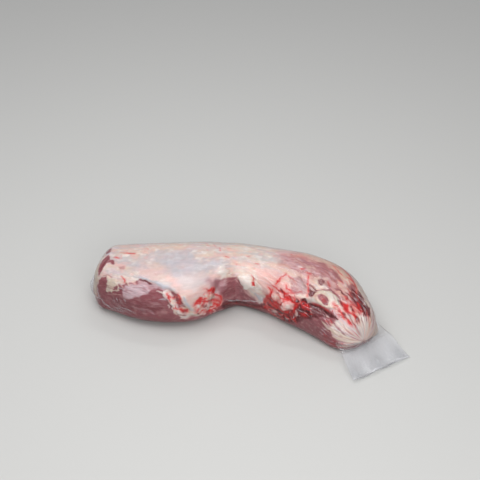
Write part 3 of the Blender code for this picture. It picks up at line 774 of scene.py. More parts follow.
# The back, the underside and the tip, which the photograph doesn't show.
TOP_OF_FAT = (
    Skin(20, 60), Skin(130, 62), Skin(230, 50), Skin(330, 100), Skin(400, 120), Skin(320, 150),
    Skin(40, 140),
)
BACK_STRAP = (Skin(30, 152), Skin(400, 156), Skin(404, 186), Skin(250, 196), Skin(40, 192))
UNDERSIDE = (Skin(16, -26), Skin(404, -26), Skin(416, -78), Skin(404, -152), Skin(16, -156), Skin(6, -80))
HIDDEN_TAIL = (
    Skin(384, 10), Skin(392, 80), Skin(404, 150), Skin(428, 150), Skin(431, 60), Skin(428, -20),
    Skin(396, -30),
)
UNSEEN = (
    Strands("veil", 0.3, 40, 26, 9, 6, 12, 0.1, TOP_OF_FAT),
    Strands("blush", 0.35, 40, 24, 8, 4, 14, 0.1, TOP_OF_FAT),
    Strands("amber", 0.35, 30, 18, 7, 8, 20, 0.1, TOP_OF_FAT),
    Strands("blood", 0.3, 30, 5, 1.4, 20, 40, 0, TOP_OF_FAT),
    Strands("muscle", 0.9, 34, 42, 7, 2, 5, -0.3, BACK_STRAP),
    Strands("deep", 0.6, 40, 30, 2.6, 2, 6, -0.2, BACK_STRAP),
    Strands("fat", 0.85, 44, 26, 2.4, 3, 10, 0.4, BACK_STRAP),
    Strands("silver", 0.6, 40, 30, 2.4, 2, 8, 0.1, BACK_STRAP),
    Strands("blood", 0.5, 30, 8, 1.6, 20, 40, 0, BACK_STRAP),
    Strands("deep", 0.6, 44, 60, 13, 4, 8, 0, UNDERSIDE),
    Strands("silver", 0.7, 44, 60, 11, 4, 8, 0, UNDERSIDE),
    Strands("fat", 0.85, 26, 40, 11, 6, 14, 0, UNDERSIDE),
    Strands("blood", 0.4, 14, 20, 10, 10, 30, 0, UNDERSIDE),
    Strands("muscle", 0.7, 26, 13, 5, 6, 28, 0, HIDDEN_TAIL),
    Strands("deep", 0.55, 20, 10, 2.6, 10, 34, -0.2, HIDDEN_TAIL),
    Strands("fat", 0.7, 20, 12, 6, 6, 26, 0.3, HIDDEN_TAIL),
    Strands("white", 0.8, 14, 12, 3.2, 8, 24, 0.5, HIDDEN_TAIL),
    Strands("silver", 0.6, 26, 16, 2.4, 6, 14, 0.2, HIDDEN_TAIL),
    Strands("blood", 0.6, 14, 7, 2.2, 20, 40, 0, HIDDEN_TAIL),
)

# Wrinkles of the film that the photograph shows, and fields of small ones. Widths and rise are in mm.
Crease = namedtuple("Crease", "milk width rise points")
# Their milky white also paints highlights, where the creases and the bag's edge round the head catch the
# light.
CREASES = (
    Crease(0.8, 2, 0.35, ((225, 300), (233, 301), (242, 301), (251, 301), (262, 302))),
    Crease(0.3, 1.8, 0.3, ((300, 304), (310, 309), (322, 315))),
    Crease(0.12, 1.8, 0.3, ((305, 303), (315, 308), (325, 315))),
    Crease(0.5, 1.8, 0.3, ((296, 309), (304, 313), (310, 318))),
    Crease(0.5, 1.8, 0.3, ((356, 294), (362, 300), (368, 309))),
    Crease(0.5, 1.8, 0.3, ((360, 303), (365, 309), (368, 316))),
    Crease(0.6, 1.7, 0.25, ((113, 298), (115, 303))),
    Crease(0.6, 1.7, 0.25, ((116, 297), (118.5, 303))),
    Crease(0.5, 1.7, 0.25, ((119.5, 299), (122, 304))),
    Crease(0.5, 1.7, 0.25, ((123, 298), (126, 303.5))),
    Crease(0.55, 1.7, 0.3, ((112, 306), (120, 309), (130, 313))),
    Crease(0.5, 1.7, 0.3, ((117, 305), (126, 309.5), (136, 313))),
    Crease(0.75, 1.8, 0.4, ((97.5, 285), (98.5, 294), (104, 303.5), (111.5, 308), (124, 312))),
    Crease(0.3, 1.8, 0.25, ((141, 290), (144, 291), (147, 292.5))),
)
Ruck = namedtuple("Ruck", "milk count length width turn spread rise outline")
RUCKS = (
    # The first three are painted highlights: small bright specks on the wet torn ends.
    Ruck(0.95, 20, 2.6, 1.6, 10, 60, 0.3, TORN_OUTLINE),
    Ruck(0.9, 14, 3, 1.6, 0, 40, 0.3, STRANDED_OUTLINE),
    Ruck(0.9, 12, 2.6, 1.6, 60, 60, 0.3, BLOODY_OUTLINE),
    Ruck(0.2, 26, 12, 1.8, 0, 30, 0.3, (Skin(14, -40), Skin(14, 200), Skin(36, 200), Skin(36, -40))),
    Ruck(0.12, 20, 16, 1.8, 96, 12, 0.25, (Skin(176, -24), Skin(196, 20), Skin(244, 16), Skin(262, -24))),
    Ruck(0.25, 46, 24, 1.8, 4, 14, 0.35, (
        Skin(396, -60), Skin(396, 230), Skin(430, 220), Skin(430, -50),
    )),
    Ruck(0.05, 16, 16, 1.7, 20, 50, 0.1, (Skin(30, 40), Skin(400, 30), Skin(400, 140), Skin(30, 140))),
    Ruck(0.12, 30, 14, 1.7, 50, 50, 0.16, (Skin(30, -30), Skin(400, -30), Skin(400, 10), Skin(30, 10))),
    Ruck(0.15, 60, 24, 1.8, 60, 60, 0.22, (Skin(20, 150), Skin(400, 150), Skin(400, 210), Skin(20, 210))),
    Ruck(0.35, 70, 30, 1.8, 0, 8, 0.4, (Skin(434, -60), Skin(434, 240), Skin(474, 230), Skin(474, -50))),
)

# Blotches over all of the fat, from noise of a coarse and a fine size in mm, drawn out lengthwise by
# stretch. A blotch shows where start + slope * noise is above 0, in full where it is 1.
Blotch = namedtuple("Blotch", "tissue strength rise start slope coarse fine share stretch seed")
BLOTCHES = (
    Blotch("blush", 0.45, 0.00, 0.50, 0.8, 26, 11, 0.5, 2.2, 11),
    Blotch("veil", 0.55, 0.15, 0.35, 1.2, 9, 4, 0.6, 4, 13),
    Blotch("white", 0.90, 0.14, -0.05, 1.3, 4.5, 2.2, 0.6, 1.6, 21),
    Blotch("blush", 0.75, 0.00, -0.15, -1.3, 4.5, 2.2, 0.6, 1.6, 21),
    Blotch("amber", 0.60, 0.00, -0.20, 1.0, 7, 3, 0.6, 3, 23),
    Blotch("silver", 0.65, 0.00, -0.20, -1.3, 7, 3, 0.6, 3, 23),
)

# The fat ends and the underside's muscle begins so many mm round from the top, along a ragged edge.
UNDERSIDE_FROM, UNDERSIDE_RAGGED, UNDERSIDE_FADE, UNDERSIDE_STRENGTH = 98, 7, 6, 0.95
# Further round than this the grid is coarse, so the colours are smoothed.
SMOOTH_FROM, SMOOTH_FADE, SMOOTH_TIMES = 104, 14, 2
FINE_RELIEF = 0.12  # mm
RELIEF_FADE = 0.02  # length at either end over which the painted relief dies away
BRIDGE_FROM, BRIDGE_TO = 28, 50  # degrees round, between which fat comes to bridge the lobe's seam

# The head's blunt face is where the surface faces along the piece by more than FACE_FROM. Muscle is
# bare up to FACE_BARE_HEIGHT on it, and its blotches, streaks and lumps are so large. All in mm.
FACE_FROM, FACE_FADE = 0.72, 0.16
FACE_BARE_HEIGHT, FACE_BARE_FADE, FACE_RAGGED, FACE_SHARPNESS = 34, 10, 1.3, 1.2
FACE_BLOTCH, FACE_SMALL_BLOTCH, FACE_SMALL_SHARE, FACE_STREAK, FACE_LUMP = 15, 6, 0.6, 3.5, 5
FACE_STREAK_SCALE = (1, 0.3, 1.4)  # draws the streaks out from side to side


def grain(points, size, seed):
    """Smooth noise from -1 to 1 at 3-D points, its bumps about size apart."""
    cells = 32
    table = np.random.default_rng(seed).uniform(-1, 1, (cells, cells, cells))
    cell = points / size
    whole = np.floor(cell).astype(int)
    part = cell - whole
    part = part * part * (3 - 2 * part)
    total = np.zeros(points.shape[:-1])
    for corner in np.ndindex(2, 2, 2):
        weight = np.prod(np.where(corner, part, 1 - part), axis=-1)
        i, j, k = np.moveaxis((whole + corner) % cells, -1, 0)
        total += weight * table[i, j, k]
    return total


def inside_outline(u, v, outline):
    """True where (u, v) is within a closed outline."""
    within = np.zeros(np.shape(u), bool)
    for (u0, v0), (u1, v1) in zip(outline, np.roll(outline, -1, axis=0)):
        crosses = (v0 > v) != (v1 > v)
        level = v1 - v0 if v1 != v0 else ALMOST_NONE
        within ^= crosses & (u < (u1 - u0) * (v - v0) / level + u0)
    return within


def gap_to_path(u, v, path):
    """Distance to a path, and how far along it, from 0 to 1, its nearest point is."""
    steps = np.hypot(*np.diff(path, axis=0).T) + ALMOST_NONE
    run = np.concatenate([[0], np.cumsum(steps)])
    gap, place = np.full(np.shape(u), np.inf), np.zeros(np.shape(u))
    for i, step in enumerate(steps):
        (u0, v0), (u1, v1) = path[i], path[i + 1]
        share = np.clip(((u - u0) * (u1 - u0) + (v - v0) * (v1 - v0)) / step**2, 0, 1)
        here = np.hypot(u - u0 - share * (u1 - u0), v - v0 - share * (v1 - v0))
        place = np.where(here < gap, (run[i] + share * step) / run[-1], place)
        gap = np.minimum(gap, here)
    return gap, place


class Painter:
    """Lays lines, patches and fields of strands on an unrolled grid. Lengths are in mm."""

    THINNEST = 0.8  # half the narrowest line that the grid can hold
    TAPER, POINT = 0.25, 0.12  # share of a line over which each end thins, and what is left, squared
    UNEVEN, BROKEN, WORN = 0.3, 0.45, 0.35  # noise in a line's width, and that thins lines and patches
    STAINING = 1.5  # width from which blood also stains what lies beside it
    STAIN_REACH, STAIN_STRENGTH = 2.2, 0.3
    SOFT_EDGE = 0.6  # least width of a line's soft edge
    USUAL, SOFTNESS, SOFTER, SOFTEST = 3, 0.35, 0.06, 0.95  # a width, its soft share, more per mm, most
    TRIES = 40  # places tried for each strand of a field
    BEND = 25  # degrees
    HALF_LENGTHS, WIDTHS, STRENGTHS = (0.3, 0.75), (0.7, 1.4), (0.5, 1)  # shares of those asked for
    RAGGED = 0.3  # of a strand, and as much again for each mm of its width

    def __init__(self, grid, seed):
        self.grid = grid
        self.random = np.random.default_rng(seed)
        turn = np.radians(grid.v / MM_PER_DEGREE)
        girth = GIRTH_RADIUS / MM
        self.round_it = np.stack([grid.u, girth * np.sin(turn), girth * np.cos(turn)], axis=-1)
        self.height = np.zeros(grid.s.shape)
        self.warp_u = self.cloud(coarse=6, fine=2.6, share=0.6, stretch=1, seed=seed + 1)
        self.warp_v = self.cloud(coarse=6, fine=2.6, share=0.6, stretch=1, seed=seed + 3)
        self.patchy = self.cloud(coarse=4, fine=1.8, share=0.5, stretch=1.5, seed=seed + 5)

    def cloud(self, coarse, fine, share, stretch, seed):
        """Noise of a coarse size, with a share of a finer one, drawn out along the piece."""
        place = self.round_it / (stretch, 1, 1)
        return grain(place, coarse, seed) + share * grain(place, fine, seed + 1)

    def near(self, path, reach, ragged):
        """The rows near a path, with their warped (u, v) and the path, both from its middle."""
        middle = path[:, 1].mean()
        ends = path[:, 0].min() - reach, path[:, 0].max() + reach
        first, last = np.searchsorted(self.grid.u[:, 0], ends)
        rows = slice(first, max(last, first + 1))
        u = self.grid.u[rows] + ragged * self.warp_u[rows]
        v = wrap(self.grid.v[rows] - middle) + ragged * self.warp_v[rows]
        return rows, u, v, np.column_stack([path[:, 0], path[:, 1] - middle])

    def line(self, path, paint, strength, width, ragged, rise):
        half = max(width / 2, self.THINNEST)
        strength = strength * min(1, width / 2 / self.THINNEST)
        rows, u, v, centred = self.near(path, half * 2 + ragged * 2, ragged)
        gap, place = gap_to_path(u, v, centred)
        if paint == "blood" and width > self.STAINING:
            stain = np.exp(-((gap / (half * self.STAIN_REACH)) ** 2))
            self.lay(rows, paint, self.STAIN_STRENGTH * strength * stain, 0)
        taper = np.sqrt(np.clip(np.minimum(place, 1 - place) / self.TAPER, self.POINT, 1))
        gap = gap / (half * taper * (1 + self.UNEVEN * np.clip(self.patchy[rows], -1, 1)))
        broad = self.SOFTNESS + self.SOFTER * (width - self.USUAL)
        soft = min(max(self.SOFT_EDGE / half, broad), self.SOFTEST)
        whole = 1 - self.BROKEN * np.clip(-self.patchy[rows], 0, 1)
        body = ease((1 + soft - gap) / (2 * soft))
        self.lay(rows, paint, strength * whole * body, rise * np.exp(-gap * gap))

    def patch(self, path, paint, strength, soft, ragged, rise):
        rows, u, v, centred = self.near(path, soft * 2 + ragged * 2, ragged)
        gap, _ = gap_to_path(u, v, np.concatenate([centred, centred[:1]]))
        depth = np.where(inside_outline(u, v, centred), gap, -gap)
        share = ease(0.5 + depth / (2 * soft))
        worn = 1 - self.WORN * np.clip(self.patchy[rows], 0, 1)
        self.lay(rows, paint, strength * share * worn, rise * share)

    def strands(self, outline, paint, strength, count, length, width, turn, spread, rise):
        """Short wandering lines inside an outline."""
        middle = outline[:, 1].mean()
        flat = np.column_stack([outline[:, 0], outline[:, 1] - middle])
        low, high = flat.min(0), flat.max(0)
        laid = 0
        for _ in range(count * self.TRIES):
            place = self.random.uniform(low, high)
            if laid == count:
                break
            if not inside_outline(place[0], place[1], flat):
                continue
            heading = math.radians(turn + self.random.uniform(-spread, spread))
            bend = math.radians(self.random.uniform(-self.BEND, self.BEND))
            half = length * self.random.uniform(*self.HALF_LENGTHS)
            back = place - half * np.array([math.cos(heading - bend), math.sin(heading - bend)])
            on = place + half * np.array([math.cos(heading + bend), math.sin(heading + bend)])
            path = np.array([back, place, on]) + (0, middle)
            wide = width * self.random.uniform(*self.WIDTHS)
            strong = strength * self.random.uniform(*self.STRENGTHS)
            self.line(path, paint, strong, wide, self.RAGGED + self.RAGGED * wide, rise)
            laid += 1


FIBROUS = ("muscle", "deep", "silver")


class MeatPainter(Painter):
    """Keeps the colour of the meat, how fibrous it is, and its fine relief in mm."""

    def __init__(self, grid, colours, seed):
        super().__init__(grid, seed)
        self.colours = colours
        self.colour = np.broadcast_to(colours["fat"], grid.s.shape + (3,)).copy()
        self.fibre = np.zeros(grid.s.shape)

    def lay(self, rows, tissue, share, rise):
        self.colour[rows] += share[..., None] * (self.colours[tissue] - self.colour[rows])
        self.fibre[rows] += share * ((tissue in FIBROUS) - self.fibre[rows])
        self.height[rows] += rise


class FilmPainter(Painter):
    """Keeps the wrinkles of the film in mm, and how milky they turn it, which also paints highlights along
    them.
    """

    def __init__(self, grid, seed):
        super().__init__(grid, seed)
        self.milk = np.zeros(grid.s.shape)

    def lay(self, rows, _, share, rise):
        self.milk[rows] = np.maximum(self.milk[rows], share)
        self.height[rows] += rise


def cover_face(painter, seed):
    """Covers the head's blunt face by place, because the unrolled grid gathers to a point there."""
    place = painter.grid.base / MM
    facing = ease((-painter.grid.normal[..., 0] - FACE_FROM) / FACE_FADE)
    facing = facing * (painter.grid.s < HEAD_ROUNDING)
    blotch = grain(place, FACE_BLOTCH, seed)
    blotch = blotch + FACE_SMALL_SHARE * grain(place, FACE_SMALL_BLOTCH, seed + 1)
    depth = (FACE_BARE_HEIGHT - place[..., 2]) / FACE_BARE_FADE + FACE_RAGGED * blotch
    bare = ease(0.5 + depth / FACE_SHARPNESS)
    streak = grain(place * FACE_STREAK_SCALE, FACE_STREAK, seed + 2)
    covers = (
        ("fat", 0.9, 1),
        ("blush", 0.5, ease(0.5 + blotch)),
        ("muscle", 1, bare),
        ("silver", 0.7, ease(streak)),
        ("deep", 0.5, bare * ease(-streak)),
        ("white", 0.7, ease(grain(place, FACE_LUMP, seed + 3) - 0.1)),
    )
    for tissue, strength, share in covers:
        painter.lay(slice(None), tissue, strength * facing * share, 0)


def cover_meat(painter, photo, seed):
    """Fat, muscle, silverskin and blood, broad first and then detail by detail."""
    grid = painter.grid
    every = slice(None)
    for blotch in BLOTCHES:
        cloud = painter.cloud(blotch.coarse, blotch.fine, blotch.share, blotch.stretch, seed + blotch.seed)
        share = ease(blotch.start + blotch.slope * cloud)
        painter.lay(every, blotch.tissue, blotch.strength * share, blotch.rise * cloud)
    edge = painter.cloud(coarse=14, fine=5, share=0.5, stretch=2, seed=seed + 15)
    below = np.abs(grid.v) - UNDERSIDE_FROM - UNDERSIDE_RAGGED * edge
    painter.lay(every, "muscle", UNDERSIDE_STRENGTH * ease(0.5 + below / UNDERSIDE_FADE), 0)
    for mark in UNSEEN + PICTURED + FIELDS + LUMPS:
        lay = {Patch: painter.patch, Stroke: painter.line, Strands: painter.strands}[type(mark)]
        lay(photo.path(mark[-1]), *mark[:-1])
    cover_face(painter, seed + 31)
    fine = painter.cloud(coarse=5, fine=2.4, share=0.5, stretch=2, seed=seed + 17)
    painter.height += FINE_RELIEF * fine
    crease, turned = SEAMS[0], np.degrees(grid.angle)
    gap = distance_to_line(grid.s, turned, crease.points)
    bridge = ease(turn_between(turned, BRIDGE_FROM) / (BRIDGE_TO - BRIDGE_FROM))
    painter.height += bridge * crease.depth / MM * np.exp(-((gap / crease.width) ** 2))
    painter.height *= ease(grid.s / RELIEF_FADE) * ease((MEAT_LENGTH - grid.s) / RELIEF_FADE)
    underneath = ease((np.abs(grid.v) - SMOOTH_FROM) / SMOOTH_FADE)[..., None]
    painter.colour += underneath * (smoothed(painter.colour, SMOOTH_TIMES) - painter.colour)


def carried(values, start, end):
    """Values of one grid read at the places of another."""
    def between(have, want):
        after = np.clip(np.searchsorted(have, want), 1, len(have) - 1)
        share = np.clip((want - have[after - 1]) / (have[after] - have[after - 1]), 0, 1)
        return after, share

    after, share = between(start.s[:, 0], end.s[:, 0])
    rows = values[after - 1] * (1 - share[:, None]) + values[after] * share[:, None]
    beyond = (end.s[:, 0] < 0) | (end.s[:, 0] > MEAT_LENGTH)
    rows[beyond] = 0
    turns = np.concatenate([start.angle[0], start.angle[0, :1] + 2 * math.pi])
    rows = np.concatenate([rows, rows[:, :1]], axis=1)
    after, share = between(turns, end.angle[0])
    return rows[:, after - 1] * (1 - share) + rows[:, after] * share


def smoothed(values, times):
    """Values averaged with their neighbours, round the piece and along it."""
    for _ in range(times):
        padded = np.concatenate([values[:1], values, values[-1:]])
        values = (padded[:-2] + 2 * padded[1:-1] + padded[2:]) / 4
        values = (np.roll(values, 1, axis=1) + 2 * values + np.roll(values, -1, axis=1)) / 4
    return values


FEATURE_KINDS = {1: ("FLOAT", "value"), 3: ("FLOAT_VECTOR", "vector"), 4: ("FLOAT_COLOR", "color")}


def skin_mesh(name, points, features):
    """A closed mesh over a grid of points, with a value for each of its points in features."""
    rings, sides = points.shape[:2]
    ends = np.stack([points[0].mean(0), points[-1].mean(0)])
    corners = np.concatenate([points.reshape(-1, 3), ends]) + np.array(SHIFT)
    index = np.arange(rings * sides).reshape(rings, sides)
    turned = np.roll(index, -1, axis=1)
    quads = np.stack([index[:-1], index[1:], turned[1:], turned[:-1]], axis=-1).reshape(-1, 4)
    first, last = rings * sides, rings * sides + 1
    fans = [(first, a, b) for a, b in zip(index[0], turned[0])]
    fans += [(last, b, a) for a, b in zip(index[-1], turned[-1])]
    mesh = bpy.data.meshes.new(name)
    mesh.from_pydata(corners.tolist(), [], quads.tolist() + fans)
    for feature, values in features.items():
        flat = values.reshape(rings * sides, -1)
        kind, field = FEATURE_KINDS[flat.shape[1]]
        flat = np.concatenate([flat, flat[:sides].mean(0)[None], flat[-sides:].mean(0)[None]])
        mesh.attributes.new(feature, kind, "POINT").data.foreach_set(field, flat.ravel())
    mesh.polygons.foreach_set("use_smooth", [True] * len(mesh.polygons))
    mesh.update()
    piece = bpy.data.objects.new(name, mesh)
    bpy.context.collection.objects.link(piece)
    return piece


class Nodes:
    """Adds nodes to a material, each with its inputs set or linked by name."""

    def __init__(self, name):
        self.material = bpy.data.materials.new(name)
        self.material.use_nodes = True
        self.tree = self.material.node_tree
        self.tree.nodes.clear()

    def add(self, kind, inputs, **settings):
        node = self.tree.nodes.new("ShaderNode" + kind)
        for setting, value in settings.items():
            setattr(node, setting, value)
        for socket, value in inputs.items():
            if isinstance(value, bpy.types.NodeSocket):
                self.tree.links.new(value, node.inputs[socket])
            else:
                node.inputs[socket].default_value = value
        return node

    def feature(self, name, output):
        return self.add("Attribute", {}, attribute_name=name).outputs[output]

    def noise(self, place, stretch, scale, detail):
        """Noise over the piece, drawn out along it by stretch."""
        drawn = self.add("Mapping", {"Vector": place, "Scale": (1 / stretch, 1, 1)}).outputs[0]
        return self.add("TexNoise", {"Vector": drawn, "Scale": scale, "Detail": detail}).outputs[0]

    def bump(self, height, strength, distance):
        inputs = {"Height": height, "Strength": strength, "Distance": distance}
        return self.add("Bump", inputs).outputs[0]

    def between(self, value, low, high):
        """Noise, which is mostly from 0.3 to 0.7, made into low to high."""
        spread = {"From Min": 0.3, "From Max": 0.7, "To Min": low, "To Max": high}
        return self.add("MapRange", {"Value": value, **spread}).outputs[0]

    def sum(self, a, b):
        return self.add("Math", {0: a, 1: b}, operation="ADD").outputs[0]

    def product(self, a, b):
        return self.add("Math", {0: a, 1: b}, operation="MULTIPLY").outputs[0]


def linear(colour):
    """Linear light of a display colour."""
    c = np.array(colour, float)
    return np.where(c <= 0.04045, c / 12.92, ((c + 0.055) / 1.055) ** 2.4)


# How far noise darkens and brightens the meat: along its fibres, in mottles and in specks.
FIBRE_SHADE, MOTTLE_SHADE, SPECK_SHADE = (-0.14, 0.16), (0.93, 1.06), (0.96, 1.03)
WETTER, DRIER = 0.06, 0.08  # off and onto the roughness, in mottles
FIBRE_RELIEF, MOTTLE_RELIEF, MEAT_BUMP = 0.7, 0.6, 0.0006
REDDER_GLOW = (1.0, 0.45, 0.35)  # how far red, green and blue light go in, against each other
MEAT_SPECULAR = 0.4
FILM_BUMP = 0.0005
# White of the milky film, which also serves as painted highlights along creases and edges.
MILK_AND_GLINT_COLOUR = (0.82, 0.83, 0.86)
MILK_AND_GLINT_CRINKLED = (0.5, 1.2)  # how far the crinkles thin and thicken the milkiness and its painted highlights


def meat_material(settings):
    made = Nodes("Raw meat and fat")
    place = made.feature("round_it", "Vector")
    fibre = made.feature("fibre", "Fac")
    grain_lines = made.noise(place, stretch=9, scale=900, detail=3)
    mottle = made.noise(place, stretch=2, scale=260, detail=4)
    speck = made.noise(place, stretch=1, scale=1100, detail=2)
    streaked = made.sum(1.0, made.product(fibre, made.between(grain_lines, *FIBRE_SHADE)))
    mottled = made.between(mottle, *MOTTLE_SHADE)
    value = made.product(made.product(streaked, mottled), made.between(speck, *SPECK_SHADE))
    tissue = made.feature("tissue", "Color")
    colour = made.add(
        "HueSaturation", {"Color": tissue, "Value": value, "Saturation": settings.saturation}
    ).outputs[0]
    fibres = made.product(made.product(fibre, grain_lines), FIBRE_RELIEF)
    relief = made.sum(fibres, made.product(mottle, MOTTLE_RELIEF))
    rough = made.between(mottle, settings.roughness - WETTER, settings.roughness + DRIER)
    surface = made.add(
        "BsdfPrincipled",
        {
            "Base Color": colour,
            "Roughness": rough,
            "Normal": made.bump(relief, settings.grain, MEAT_BUMP),
            "Subsurface Weight": settings.glow,
            "Subsurface Radius": REDDER_GLOW,
            "Subsurface Scale": settings.glow_depth,
            "Specular IOR Level": MEAT_SPECULAR,
        },
    )
    made.add("OutputMaterial", {"Surface": surface.outputs[0]})
    return made.material


def film_material(settings):
    made = Nodes("Clear film")
    place = made.feature("round_it", "Vector")
    milk = made.feature("milk", "Fac")
    crinkle = made.noise(place, stretch=5, scale=420, detail=3)
    bump = made.bump(crinkle, settings.crinkle, FILM_BUMP)
    gleam = made.add("Fresnel", {"IOR": settings.ior, "Normal": bump}).outputs[0]
    clear = made.add("BsdfTransparent", {"Color": (*settings.tint, 1)}).outputs[0]
    gloss = made.add(
        "BsdfGlossy", {"Color": (1, 1, 1, 1), "Roughness": settings.roughness, "Normal": bump}
    ).outputs[0]
    film = made.add("MixShader", {0: made.product(gleam, settings.gleam), 1: clear, 2: gloss}).outputs[0]
    # Diffuse white where the film is milky, and where it is painted as highlights.
    white = made.add("BsdfDiffuse", {"Color": (*MILK_AND_GLINT_COLOUR, 1)}).outputs[0]
    share = made.product(milk, made.between(crinkle, *MILK_AND_GLINT_CRINKLED))
    milky_and_glinting = made.add("MixShader", {0: share, 1: film, 2: white}).outputs[0]
    made.add("OutputMaterial", {"Surface": milky_and_glinting})
    return made.material


def plain_material(name, colour, roughness):
    made = Nodes(name)
    surface = made.add("BsdfPrincipled", {"Base Color": (*linear(colour), 1), "Roughness": roughness})
    made.add("OutputMaterial", {"Surface": surface.outputs[0]})
    return made.material


def colour_setting(name, description, default):
    return bpy.props.FloatVectorProperty(
        name=name, description=description, default=default, size=3, min=0, max=1, subtype="COLOR_GAMMA"
    )


def share_setting(name, description, default, most=1.0):
    return bpy.props.FloatProperty(
        name=name, description=description, default=default, min=0, max=most, subtype="FACTOR"
    )


def length_setting(name, description, default, most):
    return bpy.props.FloatProperty(
        name=name, description=description, default=default, min=0.0001, max=most, unit="LENGTH"
    )


def power_setting(name, description, default):
    return bpy.props.FloatProperty(
        name=name, description=description, default=default, min=0, unit="POWER"
    )


class MeatSettings(bpy.types.PropertyGroup):
    fat: colour_setting("Fat", "The creamy fat cover", (0.89, 0.83, 0.76))
    blush: colour_setting("Pink fat", "Fat with blood in it", (0.91, 0.76, 0.73))
    # Also laid on as painted highlights: the lobe's bright patch and small glints.
    white: colour_setting("White fat", "The brightest lumps and threads", (0.93, 0.89, 0.86))
    amber: colour_setting("Warm fat", "Fat with a warm tint", (0.90, 0.80, 0.715))
    veil: colour_setting("Membrane", "Thin bluish sheets over the fat", (0.77, 0.765, 0.79))
    silver: colour_setting("Silverskin", "The lilac sheen on muscle", (0.87, 0.79, 0.805))
    muscle: colour_setting("Muscle", "Bare muscle", (0.62, 0.345, 0.37))
    deep: colour_setting("Deep muscle", "Muscle in folds and shadow", (0.38, 0.06, 0.09))
    blood: colour_setting("Blood", "Torn ends and flecks", (0.84, 0.13, 0.13))
    saturation: share_setting("Saturation", "Of all its colours", 1.0, 2)
    roughness: share_setting("Roughness", "Of its wet surface", 0.42)
    grain: share_setting("Grain", "Strength of the fibres' relief", 0.5)
    glow: share_setting("Glow", "Share of light scattered under the surface", 0.15)
    glow_depth: length_setting("Glow depth", "How far light goes in", 0.003, 0.02)
    seed: bpy.props.IntProperty(name="Seed", description="Of its fat streaks and flecks", default=7, min=0)


class FilmSettings(bpy.types.PropertyGroup):
    gap: length_setting("Gap", "From the meat to the film", 0.0004, 0.002)
    wrinkles: share_setting("Wrinkles", "Height of the wrinkles, 1 as photographed", 1.0, 3)
    # This also sets the strength of the painted highlights along creases and edges.
    milk: share_setting("Milkiness", "How white the film is along a wrinkle", 0.5)
    crinkle: share_setting("Crinkle", "Strength of the fine relief", 0.4)
    roughness: share_setting("Roughness", "Of the film's gloss", 0.19)
    gleam: share_setting("Gleam", "Share of the film's gloss that shows", 0.75)
    ior: bpy.props.FloatProperty(
        name="Refractive index", description="Of the film, for how it gleams", default=1.42, min=1, max=2
    )
    tint: colour_setting("Tint", "Of light that comes through", (0.97, 0.97, 0.98))
    seed: bpy.props.IntProperty(name="Seed", description="Of its small wrinkles", default=19, min=0)


class StageSettings(bpy.types.PropertyGroup):
    floor: colour_setting("Floor", "Plain floor under the piece", (0.78, 0.78, 0.77))
    overhead: power_setting("Overhead", "Power of the large light above", 9)
    front: power_setting("Front", "Power of the light in front", 8)
    glint: power_setting("Glint", "Power of the narrow light", 0.8)
    surroundings: share_setting("Surroundings", "Strength of the pale room", 0.50, 2)


class TenderloinSettings(bpy.types.PropertyGroup):
    meat: bpy.props.PointerProperty(name="Meat", description="The meat", type=MeatSettings)
    film: bpy.props.PointerProperty(name="Film", description="The film", type=FilmSettings)
    stage: bpy.props.PointerProperty(name="Stage", description="The studio", type=StageSettings)


TISSUES = ("fat", "blush", "white", "amber", "veil", "silver", "muscle", "deep", "blood")
MEAT_NAME = "tenderloin_meat"
FILM_NAME = "vacuum_film"
MEAT_DEPTH = 0.0007  # how far the meat's skin is under the part's
CREASE_RAGGED = 0.5  # mm
BRIDGED = 6  # rounds of smoothing by which the film spans small hollows of the meat
FLAP_FADE = 0.01  # length beyond the meat over which the film turns to flap
SEAL_INSET, SEAL_WIDTH = 0.009, 0.003  # the heat seal across the flap, from its cut edge
CUT_EDGE, CUT_FADE = 0.002, 0.001  # where the film's cut edge catches the light
HEAD_EDGE, HEAD_FADE = 0.003, 0.002  # the same on the seal round the head
# The flap and the heat seal are milky; the cut edge and the seal round the head are painted highlights.
FLAP_MILK, SEAL_MILK, CUT_GLINT, HEAD_GLINT = 0.30, 0.42, 0.75, 0.6

# The stage's lights, each named for the setting with its power. Metres.
Lamp = namedtuple("Lamp", "name size place target")
LAMPS = (
    Lamp("overhead", (1.3, 0.8), (-0.2, -0.2, 1.25), (0, 0, 0)),
    Lamp("front", (1.2, 0.6), (0.3, -1.3, 0.8), (0, 0, 0.03)),
    Lamp("glint", (0.5, 0.05), (0.1, 0.5, 0.9), (0, 0, 0.03)),
)
FLOOR_HALF = 4.0
FLOOR_ROUGHNESS = 0.6
ROOM_COLOUR = (0.98, 0.98, 1.0)


class TENDERLOIN_OT_meat(bpy.types.Operator):
    """Add the meat with its fat, muscle, silverskin and torn ends"""

    bl_idname = "tenderloin.add_meat"
    bl_label = "Add meat"

    def execute(self, context):
        settings = context.scene.tenderloin.meat
        grid = meat_grid(MEAT_SPACING)
        colours = {name: np.array(getattr(settings, name)) for name in TISSUES}
        painter = MeatPainter(grid, colours, settings.seed)
        cover_meat(painter, Photo(), settings.seed)
        points = grid.raised(painter.height * MM - MEAT_DEPTH)
        points[..., 2] = np.maximum(points[..., 2], MEAT_DEPTH)
        colour = linear(np.clip(painter.colour, 0, 1))
        features = {
            "tissue": np.concatenate([colour, np.ones_like(colour[..., :1])], axis=-1),
            "fibre": painter.fibre,
            "relief": painter.height,
            "round_it": painter.round_it * MM,
        }
        piece = skin_mesh(MEAT_NAME, points, features)
        piece.data.materials.append(meat_material(settings))
        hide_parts(NODE)
        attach(piece, "root")
        return {"FINISHED"}


